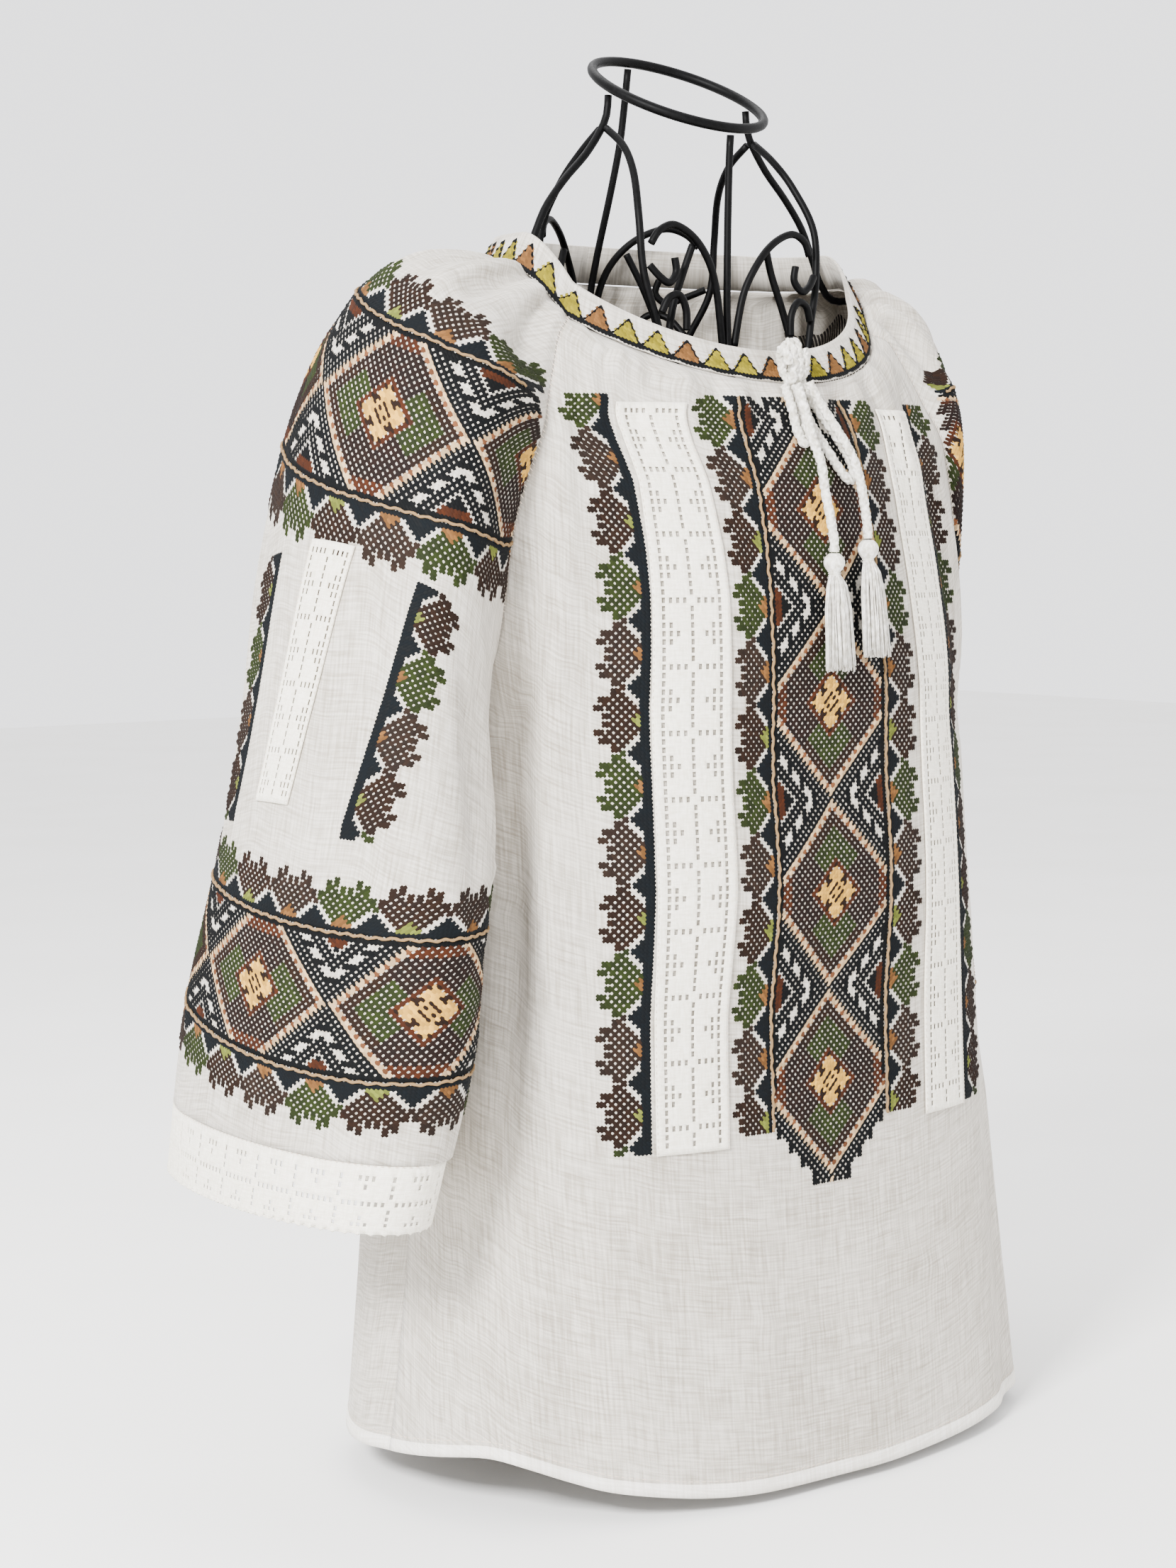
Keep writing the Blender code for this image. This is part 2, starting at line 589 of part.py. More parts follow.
def cloth_pieces():
    """Outer points and normals of the front, back and sleeves, matched along their seams."""
    last = len(BODY_SECTIONS) - 1
    last_rise = BODY_SECTIONS[-2][0] - BODY_SECTIONS[-1][0]
    at_body = section_numbers(ROWS_BELOW_UNDERARM, last)
    at_body = np.insert(at_body, -1, last - HEM_FOLD_HEIGHT / last_rise)
    at_sleeve = section_numbers(SLEEVE_ROWS_BELOW, CUFF_SECTION)
    grids = {
        "front": body_grid(-1, FRONT_COLUMNS, at_body),
        "back": body_grid(1, BACK_COLUMNS, at_body),
        "right": sleeve_grid(-1, SLEEVE_COLUMNS, at_sleeve),
        "left": sleeve_grid(1, SLEEVE_COLUMNS, at_sleeve),
    }
    outward = {"front": -1, "back": 1, "right": 1, "left": -1}
    waves = {"front": FRONT_GATHERS, "back": BACK_GATHERS, "right": SLEEVE_GATHERS, "left": SLEEVE_GATHERS}
    normals = {}
    for i, name in enumerate(grids):
        normal = normals_of(grids[name], outward[name])
        flat_half = LAYOUT_HALF_WIDTH if name == "front" else 0.0
        grids[name] = folded(grids[name], normal, FOLDS[name])
        grids[name] = gathered(grids[name], normal, waves[name], 0.7 * i, flat_half)
        normals[name] = normals_of(grids[name], outward[name])
    join_pieces(grids, normals)
    return grids, normals, outward


def join_pieces(grids, normals):
    """Joins the normals of pieces that meet at a seam, and parts the pieces by a seam gap."""
    top = ROWS_TO_UNDERARM + 1
    last = {"front": FRONT_COLUMNS, "back": BACK_COLUMNS}
    moves = {name: np.zeros_like(grid) for name, grid in grids.items()}
    joined = {name: normal.copy() for name, normal in normals.items()}
    for side in ("right", "left"):
        for body, column in (("front", 0), ("back", SLEEVE_COLUMNS)):
            edge = 0 if side == "right" else last[body]
            inside = 1 if edge == 0 else edge - 1
            beside_sleeve = 1 if column == 0 else column - 1
            shared, away = join_seam(
                grids[body][:top, edge],
                grids[side][:top, column],
                normals[body][:top, edge],
                normals[side][:top, column],
                grids[body][:top, inside],
                grids[side][:top, beside_sleeve],
            )
            joined[body][:top, edge] = shared[0]
            joined[side][:top, column] = shared[1]
            moves[body][:top, edge] += away
            moves[side][:top, column] -= away
            moves[body][top - 1 :, edge, 1] += SEAM_GAP / 2 * (1 if body == "back" else -1)
    for side in ("right", "left"):
        for store, scale in ((joined[side], 1.0), (moves[side], 0.5)):
            seam = store[top - 1 :, 0] + store[top - 1 :, SLEEVE_COLUMNS]
            seam = unit(seam) if scale == 1.0 else seam * scale
            store[top - 1 :, 0] = seam
            store[top - 1 :, SLEEVE_COLUMNS] = seam
    for column, other in ((0, 0), (FRONT_COLUMNS, BACK_COLUMNS)):
        shared = joined["front"][top - 1 :, column] + joined["back"][top - 1 :, other]
        shared[:, 1] = 0
        joined["front"][top - 1 :, column] = unit(shared)
        joined["back"][top - 1 :, other] = unit(shared)
    for name in grids:
        grids[name] = grids[name] + moves[name]
        normals[name] = joined[name]


def build_cloth():
    """Makes the front, back and sleeves."""
    grids, normals, outward = cloth_pieces()
    names = {"front": "front", "back": "back", "right": "sleeve_right", "left": "sleeve_left"}
    for key, grid in grids.items():
        closed_from = ROWS_TO_UNDERARM if key in ("right", "left") else None
        faces = sheet_faces(grid.shape[0], grid.shape[1] - 1, closed_from)
        wall = np.full((len(grid), 1, 1), CLOTH_WALL)
        if key in ("front", "back"):
            wall[-2:] += HEM_FOLD_EXTRA
        inner = grid - normals[key] * wall
        outer_points = placed(grid).reshape(-1, 3)
        inner_points = placed(inner).reshape(-1, 3)
        mesh = wall_mesh(names[key], outer_points, inner_points, faces, outward[key])
        add_object(names[key], mesh, LINEN)
    return grids, normals


def neckline(turn):
    """A point of the neckline. turn is 0 at the front and 90 degrees at the left side."""
    body = dict(zip(BODY_FIELDS, BODY_SECTIONS[0]))
    sleeve = dict(zip(SLEEVE_FIELDS, RIGHT_SLEEVE[0]))
    end_turn = math.acos(seam_deep(0) / body["front_depth"])
    back = abs(turn) > math.pi / 2
    centre_up = body["back_up"] if back else body["front_up"]
    from_centre = math.pi - abs(turn) if back else abs(turn)
    wide = body["side_out"] / math.sin(end_turn)
    seam_up = sleeve["seam_up"] + (back_seam_rise(0) if back else 0.0)
    if from_centre <= end_turn:
        rise = (1 - math.cos(from_centre)) / (1 - math.cos(end_turn))
        up = centre_up + (seam_up - centre_up) * rise
    else:
        opening = math.radians(sleeve["opening"])
        lift = (math.sin(from_centre) + math.sin(opening)) / (1 + math.sin(opening))
        up = seam_up + (sleeve["top_up"] - seam_up) * lift
    return np.array([wide * math.sin(turn), -body["front_depth"] * math.cos(turn), up])


def ring_mesh(name, sections):
    """A closed ring through sections that all have the same number of corners."""
    count = len(sections)
    corners = len(sections[0])
    points = [tuple(point) for section in sections for point in section]
    faces = []
    for i in range(count):
        for j in range(corners):
            after = (i + 1) % count
            beside = (j + 1) % corners
            faces.append(
                [i * corners + j, i * corners + beside, after * corners + beside, after * corners + j]
            )
    mesh = bpy.data.meshes.new(name)
    mesh.from_pydata(points, [], faces)
    face_outwards(mesh)
    return mesh


def face_outwards(mesh):
    """Turns a closed mesh's faces out."""
    shape = bmesh.new()
    shape.from_mesh(mesh)
    bmesh.ops.recalc_face_normals(shape, faces=shape.faces)
    shape.to_mesh(mesh)
    shape.free()
    mesh.update()


def build_band():
    """The neck band, a folded strip that leans in on top of the gathers."""
    leans = {"front": BAND_LEAN_FRONT, "side": BAND_LEAN_SIDE, "back": BAND_LEAN_BACK}
    sections = []
    for i in range(BAND_COLUMNS):
        turn = 2 * math.pi * i / BAND_COLUMNS
        turn = turn if turn <= math.pi else turn - 2 * math.pi
        base = neckline(turn) + np.array([0, 0, BAND_GAP])
        end = "front" if math.cos(turn) > 0 else "back"
        share = math.cos(turn) ** 2
        lean = math.radians(leans[end] * share + leans["side"] * (1 - share))
        inward = -np.array([base[0] / 0.130**2, base[1] / 0.098**2, 0])
        inward /= np.linalg.norm(inward)
        rise = np.array([0, 0, 1]) * math.cos(lean) + inward * math.sin(lean)
        wall = inward * BAND_WALL / math.cos(lean)
        top = base + rise * BAND_HEIGHT
        fold = top + wall / 2 + rise * BAND_WALL * 0.35
        sections.append(placed([base, top, fold, top + wall, base + wall]))
    add_object("neck_band", ring_mesh("neck_band", sections), LINEN)


def level_point(grid, across, up):
    """A point of the front at a height, a distance along the cloth from its centre line."""
    ups = grid[::-1, :, 2]
    columns = range(grid.shape[1])
    out = np.array([np.interp(up, ups[:, c], grid[::-1, c, 0]) for c in columns])
    deep = np.array([np.interp(up, ups[:, c], grid[::-1, c, 1]) for c in columns])
    reached = up <= grid[0, :, 2] + 0.001
    out = out[reached]
    deep = deep[reached]
    along = np.concatenate([[0.0], np.cumsum(np.hypot(np.diff(out), np.diff(deep)))])
    middle = np.interp(0.0, out, along)
    place = middle + across * drawn_in(up)
    return np.array([np.interp(place, along, out), np.interp(place, along, deep), up])


def drawn_in(up):
    """How much the gathers narrow the front's layout at a height."""
    return float(np.interp(up, [row[0] for row in LAYOUT_WIDTHS], [row[1] for row in LAYOUT_WIDTHS]))


def sleeve_point(grid, across, down):
    """A point of a sleeve, a distance down its top line and a distance along the cloth from it."""
    middle = grid.shape[1] // 2
    steps = np.linalg.norm(np.diff(grid[:, middle], axis=0), axis=1)
    place = np.interp(down, np.concatenate([[0.0], np.cumsum(steps)]), np.arange(len(grid)))
    low = min(int(place), len(grid) - 2)
    row = grid[low] * (1 - place + low) + grid[low + 1] * (place - low)
    along = np.concatenate([[0.0], np.cumsum(np.linalg.norm(np.diff(row, axis=0), axis=1))])
    there = along[middle] + across
    return np.array([np.interp(there, along, row[:, i]) for i in range(3)])


def strip_mesh(name, grid, outward):
    """A strip that lies on a panel: a grid of the panel's own points, moved out."""
    normal = normals_of(grid, outward)
    inner = grid + normal * LAY_GAP
    outer = grid + normal * (LAY_GAP + LACE_WALL)
    faces = sheet_faces(grid.shape[0], grid.shape[1] - 1, None)
    return wall_mesh(name, placed(outer).reshape(-1, 3), placed(inner).reshape(-1, 3), faces, outward)


def front_strip(grid, across_from, across_to, top, bottom, columns):
    """Points of a level-ended strip of the front, with the front's own rows between its ends."""
    acrosses = np.linspace(across_from, across_to, columns)
    rows = [[level_point(grid, across, top) for across in acrosses]]
    middle = FRONT_COLUMNS // 2
    for row in grid:
        along = np.concatenate([[0.0], np.cumsum(np.linalg.norm(np.diff(row, axis=0), axis=1))])
        points = []
        for across in acrosses:
            place = along[middle] + across * drawn_in(row[middle, 2])
            points.append(np.array([np.interp(place, along, row[:, i]) for i in range(3)]))
        ups = [point[2] for point in points]
        if max(ups) < top - 0.006 and min(ups) > bottom + 0.006:
            rows.append(points)
    rows.append([level_point(grid, across, bottom) for across in acrosses])
    return np.array(rows)


def build_laces(grids):
    """The lace strips down the front and the sleeves, and the lace round the cuffs."""
    for side, name in ((-1, "right"), (1, "left")):
        ends = sorted((side * FRONT_LACE_FROM, side * FRONT_LACE_TO))
        points = front_strip(grids["front"], *ends, FRONT_LACE_TOP, FRONT_LACE_BOTTOM, 6)
        add_object("lace_front_" + name, strip_mesh("lace_front_" + name, points, -1), COTTON_LACE)
        drift = SLEEVE_LACE_DRIFT if side < 0 else SLEEVE_LACE_DRIFT_LEFT
        grid = grids[name]
        middle = SLEEVE_COLUMNS // 2
        downs = distance_down(grid)[:, middle]
        inside = downs[(downs > SLEEVE_LACE_TOP + 0.006) & (downs < SLEEVE_LACE_BOTTOM - 0.006)]
        downs = np.concatenate([[SLEEVE_LACE_TOP], inside, [SLEEVE_LACE_BOTTOM]])
        shares = np.linspace(-0.5, 0.5, 7)
        points = []
        for down in downs:
            share = (down - downs[0]) / (downs[-1] - downs[0])
            centre = drift[0] + (drift[1] - drift[0]) * share
            points.append([sleeve_point(grid, centre + SLEEVE_LACE_WIDTH * s, down) for s in shares])
        add_object("lace_sleeve_" + name, strip_mesh("lace_sleeve_" + name, np.array(points), -side), COTTON_LACE)
        build_cuff_lace(side, name)


def build_cuff_lace(side, name):
    """The lace edging that is sewn to the lower edge of a sleeve."""
    at = np.linspace(CUFF_SECTION, len(RIGHT_SLEEVE) - 1, CUFF_ROWS)
    grid = sleeve_grid(side, SLEEVE_COLUMNS, at)
    grid[0] += (grid[1] - grid[0]) * (SEAM_GAP / np.linalg.norm(grid[1] - grid[0], axis=1))[:, None]
    normal = normals_of(grid, -side)
    seam = normal[:, 0] + normal[:, -1]
    seam /= np.linalg.norm(seam, axis=1, keepdims=True)
    normal[:, 0] = seam
    normal[:, -1] = seam
    inner = grid - normal * LACE_WALL
    faces = sheet_faces(grid.shape[0], grid.shape[1] - 1, 0)
    node = "lace_cuff_" + name
    mesh = wall_mesh(node, placed(grid).reshape(-1, 3), placed(inner).reshape(-1, 3), faces, -side)
    add_object(node, mesh, COTTON_LACE)


def smooth_route(points, count):
    """Evenly spaced points on a smooth curve through a route's points."""
    fine = read_table(points, ("x", "y", "z"), np.linspace(0, len(points) - 1, 24 * len(points)))
    return spread(np.stack([fine["x"], fine["y"], fine["z"]], axis=1), count)


def smooth_in_parts(points, break_at, counts):
    """Points on a smooth curve through a route, set out evenly before and after one of its points."""
    fine = 24
    curve = read_table(points, ("x", "y", "z"), np.linspace(0, len(points) - 1, fine * (len(points) - 1) + 1))
    curve = np.stack([curve["x"], curve["y"], curve["z"]], axis=1)
    first = spread(curve[: fine * break_at + 1], counts[0])
    second = spread(curve[fine * break_at :], counts[1])
    return np.concatenate([first, second[1:]])


def tube(name, points, radius, finish, closed=False, sides=1):
    """A round wire or cord as a curve with a bevel."""
    curve = bpy.data.curves.new(name, "CURVE")
    curve.dimensions = "3D"
    curve.bevel_depth = radius
    curve.bevel_resolution = sides
    curve.use_fill_caps = True
    spline = curve.splines.new("POLY")
    spline.points.add(len(points) - 1)
    for i, point in enumerate(points):
        spline.points[i].co = (*point, 1.0)
    spline.use_cyclic_u = closed
    spline.use_smooth = True
    return add_object(name, curve, finish, smooth=False)


def cloth_face(grid, out, up):
    """How far forward the front or the band stands at a distance to the left and a height."""
    turn = math.asin(max(-1.0, min(1.0, out / 0.130)))
    edge = neckline(turn)
    if up > edge[2]:
        return edge[1] + (up - edge[2]) * math.tan(math.radians(BAND_LEAN_FRONT))
    ups = grid[::-1, :, 2]
    outs = [np.interp(up, ups[:, c], grid[::-1, c, 0]) for c in range(grid.shape[1])]
    deeps = [np.interp(up, ups[:, c], grid[::-1, c, 1]) for c in range(grid.shape[1])]
    return float(np.interp(out, outs, deeps))


def off_cloth(grid, route):
    """Points in front of the front, from (out, up, off) rows."""
    return placed([(out, cloth_face(grid, out, up) - off, up) for out, up, off in route])


def build_tie(grids):
    """The knot, its two loops and two ends, and the tassels on the ends."""
    front = grids["front"]
    centre = off_cloth(front, [KNOT_CENTRE])[0]
    shape = bmesh.new()
    bmesh.ops.create_uvsphere(shape, u_segments=14, v_segments=8, radius=1.0)
    bmesh.ops.transform(shape, matrix=Matrix.Diagonal((*KNOT_RADII, 1.0)), verts=shape.verts)
    bmesh.ops.translate(shape, vec=Vector(centre), verts=shape.verts)
    mesh = bpy.data.meshes.new("tie_knot")
    shape.to_mesh(mesh)
    shape.free()
    add_object("tie_knot", mesh, COTTON_CORD)
    routes = {
        "tie_loop_short": (LOOP_SHORT, 16),
        "tie_loop_long": (LOOP_LONG, 22),
        "tie_end_right": (END_RIGHT, 18),
        "tie_end_left": (END_LEFT, 18),
    }
    for name, (route, count) in routes.items():
        tube(name, smooth_route(off_cloth(front, route), count), CORD_RADIUS, COTTON_CORD, sides=2)
    build_tassel("tassel_right", front, END_RIGHT[-1])
    build_tassel("tassel_left", front, END_LEFT[-1])


def lathe_mesh(name, profile, centre, segments):
    """A solid of revolution from (radius, height) rows, closed by a fan at each end."""
    points = []
    faces = []
    for radius, up in profile:
        for i in range(segments):
            turn = 2 * math.pi * i / segments
            points.append((centre[0] + radius * math.cos(turn), centre[1] + radius * math.sin(turn), up))
    for j in range(len(profile) - 1):
        for i in range(segments):
            k = (i + 1) % segments
            low = j * segments
            faces.append([low + i, low + k, low + segments + k, low + segments + i])
    faces.append(list(range(segments)))
    faces.append([(len(profile) - 1) * segments + i for i in range(segments)])
    mesh = bpy.data.meshes.new(name)
    mesh.from_pydata(points, [], faces)
    face_outwards(mesh)
    return mesh


def build_tassel(name, grid, end):
    """A tassel below a cord's end: a bound head and a skirt of strands rooted in it."""
    out, up, off = end
    top = up - TASSEL_GAP
    axis = off_cloth(grid, [end])[0]
    profile = []
    for share, width in ((0, 0.45), (0.12, 0.85), (0.38, 1.0), (0.62, 0.86), (0.72, 0.80), (1.0, 0.98)):
        profile.append((TASSEL_HEAD_RADIUS * width, top - TASSEL_HEAD * share + HEM_ABOVE_FLOOR))
    head = add_object(name, lathe_mesh(name, profile, axis, 10), COTTON_CORD)
    points = []
    faces = []
    for i in range(TASSEL_STRANDS):
        turn = 2 * math.pi * (i + 0.5) / TASSEL_STRANDS
        sway = 1 + 0.10 * math.sin(5.1 * i)
        long = 1 + 0.05 * math.sin(3.7 * i + 1)
        start = len(points)
        for share, spread_share, size in ((-0.045, 0.33, 0.7), (0.35, 0.66, 1.0), (1.0, 1.0, 0.85)):
            reach = 1.0 if share < 0 else sway
            centre_off = off + (TASSEL_SPREAD_DEEP * 0.5 - 0.001) * max(share, 0)
            x = out + TASSEL_SPREAD * spread_share * reach * math.cos(turn)
            deep = TASSEL_HEAD_RADIUS * 0.62 if share < 0 else TASSEL_SPREAD_DEEP * (0.9 + 0.1 * share)
            y_off = centre_off + deep * math.sin(turn)
            drop = TASSEL_SKIRT * share * (long if share > 0 else 1.0)
            z = top - TASSEL_HEAD - drop
            if share < 0:
                place = np.array([x + AXIS_OUT, axis[1] - deep * math.sin(turn), z + HEM_ABOVE_FLOOR])
            else:
                place = off_cloth(grid, [(x, z, y_off)])[0]
            for j in range(3):
                angle = turn + 2 * math.pi * j / 3
                radius = STRAND_RADIUS * size
                points.append((place[0] + radius * math.cos(angle), place[1] - radius * math.sin(angle), place[2]))
        for j in range(3):
            k = (j + 1) % 3
            for level in (0, 3):
                faces.append([start + level + j, start + level + k, start + level + 3 + k, start + level + 3 + j])
        faces.append([start, start + 1, start + 2])
        faces.append([start + 6, start + 7, start + 8])
    mesh = bpy.data.meshes.new(name + "_skirt")
    mesh.from_pydata(points, [], faces)
    face_outwards(mesh)
    skirt = bpy.data.objects.new(name + "_skirt", mesh)
    bpy.context.scene.collection.objects.link(skirt)
    skirt.hide_render = True
    skirt.hide_viewport = False
    skirt.display_type = "WIRE"
    join = head.modifiers.new("skirt", "BOOLEAN")
    join.operation = "UNION"
    join.solver = "EXACT"
    join.object = skirt


def beside(point, line, distance):
    """The point moved so that it stands a set distance from the nearest place on a line."""
    start = line[:-1]
    step = line[1:] - start
    share = np.clip(np.sum((point - start) * step, axis=1) / np.sum(step * step, axis=1), 0, 1)
    nearest = start + step * share[:, None]
    away = point - nearest
    i = int(np.argmin(np.linalg.norm(away, axis=1)))
    return nearest[i] + away[i] / np.linalg.norm(away[i]) * distance


def side_upright(side, grid, normal):
    """The route of a side upright: down from the ring, out under the shoulder and back to the base."""
    middle = SLEEVE_COLUMNS // 2
    drop = CLOTH_WALL + WIRE_RADIUS + SHOULDER_CLEAR
    sections = section_numbers(SLEEVE_ROWS_BELOW, CUFF_SECTION)
    route = [(side * out, 0.0, up) for out, up in UPRIGHT_SIDE_TOP]
    for section in SHOULDER_SECTIONS:
        row = np.interp(section, sections, np.arange(len(sections)))
        low = int(row)
        part = row - low
        under = (grid[low] - normal[low] * drop) * (1 - part) + (grid[low + 1] - normal[low + 1] * drop) * part
        route.append(tuple(under[middle]))
    return route + [(side * out, 0.0, up) for out, up in UPRIGHT_SIDE_LOW if out < abs(route[-1][0])]


def build_form(grids, normals):
    """The wire dress form that the blouse stands on."""
    tilt = math.radians(RING_TILT)
    ring = []
    for i in range(28):
        turn = 2 * math.pi * i / 28
        y = -RING_RADIUS * math.cos(turn)
        ring.append((RING_RADIUS * math.sin(turn), y * math.cos(tilt), RING_UP + y * math.sin(tilt)))
    tube("form_neck_ring", placed(ring), RING_WIRE_RADIUS, BLACK_STEEL, closed=True)
    routes = {
        "form_upright_front": ([(0.0, -deep, up) for deep, up in UPRIGHT_FRONT], 26),
        "form_upright_back": ([(0.0, deep, up) for deep, up in UPRIGHT_BACK], 24),
    }
    lines = {name: smooth_route(route, count) for name, (route, count) in routes.items()}
    for side, hand in ((-1, "right"), (1, "left")):
        route = side_upright(side, grids[hand], normals[hand])
        shoulder_end = len(UPRIGHT_SIDE_TOP) + len(SHOULDER_SECTIONS) - 1
        lines["form_upright_" + hand] = smooth_in_parts(route, shoulder_end, (26, 14))
    for name in lines:
        tube(name, placed(lines[name]), WIRE_RADIUS, BLACK_STEEL)
    build_scrolls(lines)
    build_hoops(lines)
    sections = []
    for i in range(44):
        turn = 2 * math.pi * i / 44
        way = np.array([math.sin(turn), -math.cos(turn), 0])
        middle = np.array([BASE_RADII[0] * math.sin(turn), -BASE_RADII[1] * math.cos(turn), 0])
        middle += np.array([AXIS_OUT, AXIS_DEEP, 0])
        inner = middle - way * BASE_BAR_WIDTH / 2
        outer = middle + way * BASE_BAR_WIDTH / 2
        rise = np.array([0, 0, BASE_BAR_THICK])
        sections.append([inner, outer, outer + rise, inner + rise])
    add_object("form_base_hoop", ring_mesh("form_base_hoop", sections), BLACK_STEEL, smooth=False)


def build_scrolls(lines):
    """The scrolls and hooks in the four quarters of the yoke."""
    front_line = lines["form_upright_front"][::-1]
    back_line = lines["form_upright_back"][::-1]
    for half, face in ((-1, "front"), (1, "back")):
        for side, hand in ((-1, "right"), (1, "left")):
            made = {}
            for kind, route in SCROLLS.items():
                rise = BACK_ARCH_RISE if half > 0 and kind == "arch" else 0.0
                points = []
                for out, deep, up in route:
                    if half > 0:
                        front_deep = -np.interp(up, front_line[:, 2], front_line[:, 1])
                        back_deep = np.interp(up + rise, back_line[:, 2], back_line[:, 1])
                        deep *= 1 + (back_deep / front_deep - 1) * max(0.0, 1 - (out / SCROLL_SPAN) ** 2)
                    points.append(np.array([side * out, half * deep, up + rise]))
                host = lines["form_upright_" + (face if kind == "arch" else hand)]
                if kind in SCROLL_HOSTS:
                    host = made[SCROLL_HOSTS[kind]]
                points[0] = beside(points[0], host, SCROLL_REACH[face][kind])
                line = smooth_route(points, SCROLL_POINTS[kind])
                made[kind] = line
                tube("form_" + kind + "_" + face + "_" + hand, placed(line), WIRE_RADIUS, BLACK_STEEL)


def build_hoops(lines):
    """Hoops that tie the four uprights together on their inner side."""
    touch = 2 * WIRE_RADIUS + WELD_GAP
    for name, up in HOOPS.items():
        reach = {}
        for way, axis in (("front", 1), ("back", 1), ("right", 0), ("left", 0)):
            line = lines["form_upright_" + way][::-1]
            reach[way] = abs(np.interp(up, line[:, 2], line[:, axis])) - touch
        points = []
        for i in range(HOOP_POINTS):
            turn = 2 * math.pi * i / HOOP_POINTS
            wide = reach["left"] if math.sin(turn) > 0 else reach["right"]
            deep = reach["front"] if math.cos(turn) > 0 else reach["back"]
            points.append((wide * math.sin(turn), -deep * math.cos(turn), up))
        tube("form_" + name, placed(points), WIRE_RADIUS, BLACK_STEEL, closed=True)


def clear_scene():
    """Removes the startup objects."""
    for thing in list(bpy.data.objects):
        bpy.data.objects.remove(thing, do_unlink=True)


def main():
    """Builds every sub-part."""
    clear_scene()
    grids, normals = build_cloth()
    build_band()
    build_laces(grids)
    build_tie(grids)
    build_form(grids, normals)


if __name__ == "__main__":
    main()
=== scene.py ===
"""A cross-stitched peasant blouse on a black wire dress form, with its lace, tie and tassels.

Lengths are in metres. The wearer's right side is at -X and the front of the blouse faces -Y.
"""

import logging
import math
from contextlib import contextmanager
from dataclasses import dataclass, field
from enum import Enum
from functools import partial
from typing import Callable, Iterator

import bmesh
import bpy
import numpy as np
from bpy.types import ID, Material, Mesh, Node, NodeSocket, NodeTree, Object
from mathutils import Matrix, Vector


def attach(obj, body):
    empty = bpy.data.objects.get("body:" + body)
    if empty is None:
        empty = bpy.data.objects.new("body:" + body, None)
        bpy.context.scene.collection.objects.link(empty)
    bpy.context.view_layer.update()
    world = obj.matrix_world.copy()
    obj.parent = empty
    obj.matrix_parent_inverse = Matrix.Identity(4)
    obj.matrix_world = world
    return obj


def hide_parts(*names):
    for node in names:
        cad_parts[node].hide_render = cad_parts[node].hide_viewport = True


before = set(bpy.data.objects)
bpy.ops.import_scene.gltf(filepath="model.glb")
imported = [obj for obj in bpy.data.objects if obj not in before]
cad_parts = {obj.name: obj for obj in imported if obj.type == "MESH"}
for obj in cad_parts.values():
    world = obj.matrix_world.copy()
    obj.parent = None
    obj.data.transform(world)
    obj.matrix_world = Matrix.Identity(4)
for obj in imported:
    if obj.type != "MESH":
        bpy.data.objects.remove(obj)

Array = np.ndarray
LOG = logging.getLogger("blouse")
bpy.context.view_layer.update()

# Where the form's axis stands in the frame, and the hem's height above the floor
AXIS = np.array([0.0135, -0.0195, 0.006])
# A cross stitch covers this much of the cloth, across and down
PITCH_ACROSS = 0.00228
PITCH_DOWN = 0.00229
CLOTH = 0.0008
# The hem's fold, and how far it stands out from the single cloth
HEM = 0.0085
HEM_OUT = 0.0006
# The gathers: how high they stand, how far down they grow and fade, and how far under the embroidery
GATHER = 0.0036
GATHER_START = 0.012
GATHER_REACH = 0.095
STITCHED_REACH = 0.024


class Side(Enum):
    """The wearer's sides. The value is the side's direction along X."""

    RIGHT = -1
    LEFT = 1

    @property
    def word(self) -> str:
        """The side's name in the names of nodes."""
        return self.name.lower()


class Thread(Enum):
    """The yarns of the embroidery, each with its sRGB colour."""

    BLACK = "#040506"
    NAVY = "#06090C"
    BARK = "#190E08"
    PLUM = "#150C09"
    MOSS = "#1A210A"
    ASH = "#1C130E"
    RUST = "#301609"
    LIME = "#565C24"
    COPPER = "#5C3D1F"
    GOLD = "#AC8236"
    CREAM = "#A48A68"
    OLIVE = "#6E6414"
    SAND = "#553420"
    SHELL = "#CFC0B0"
    STRAW = "#7C6344"


# Cloth sections


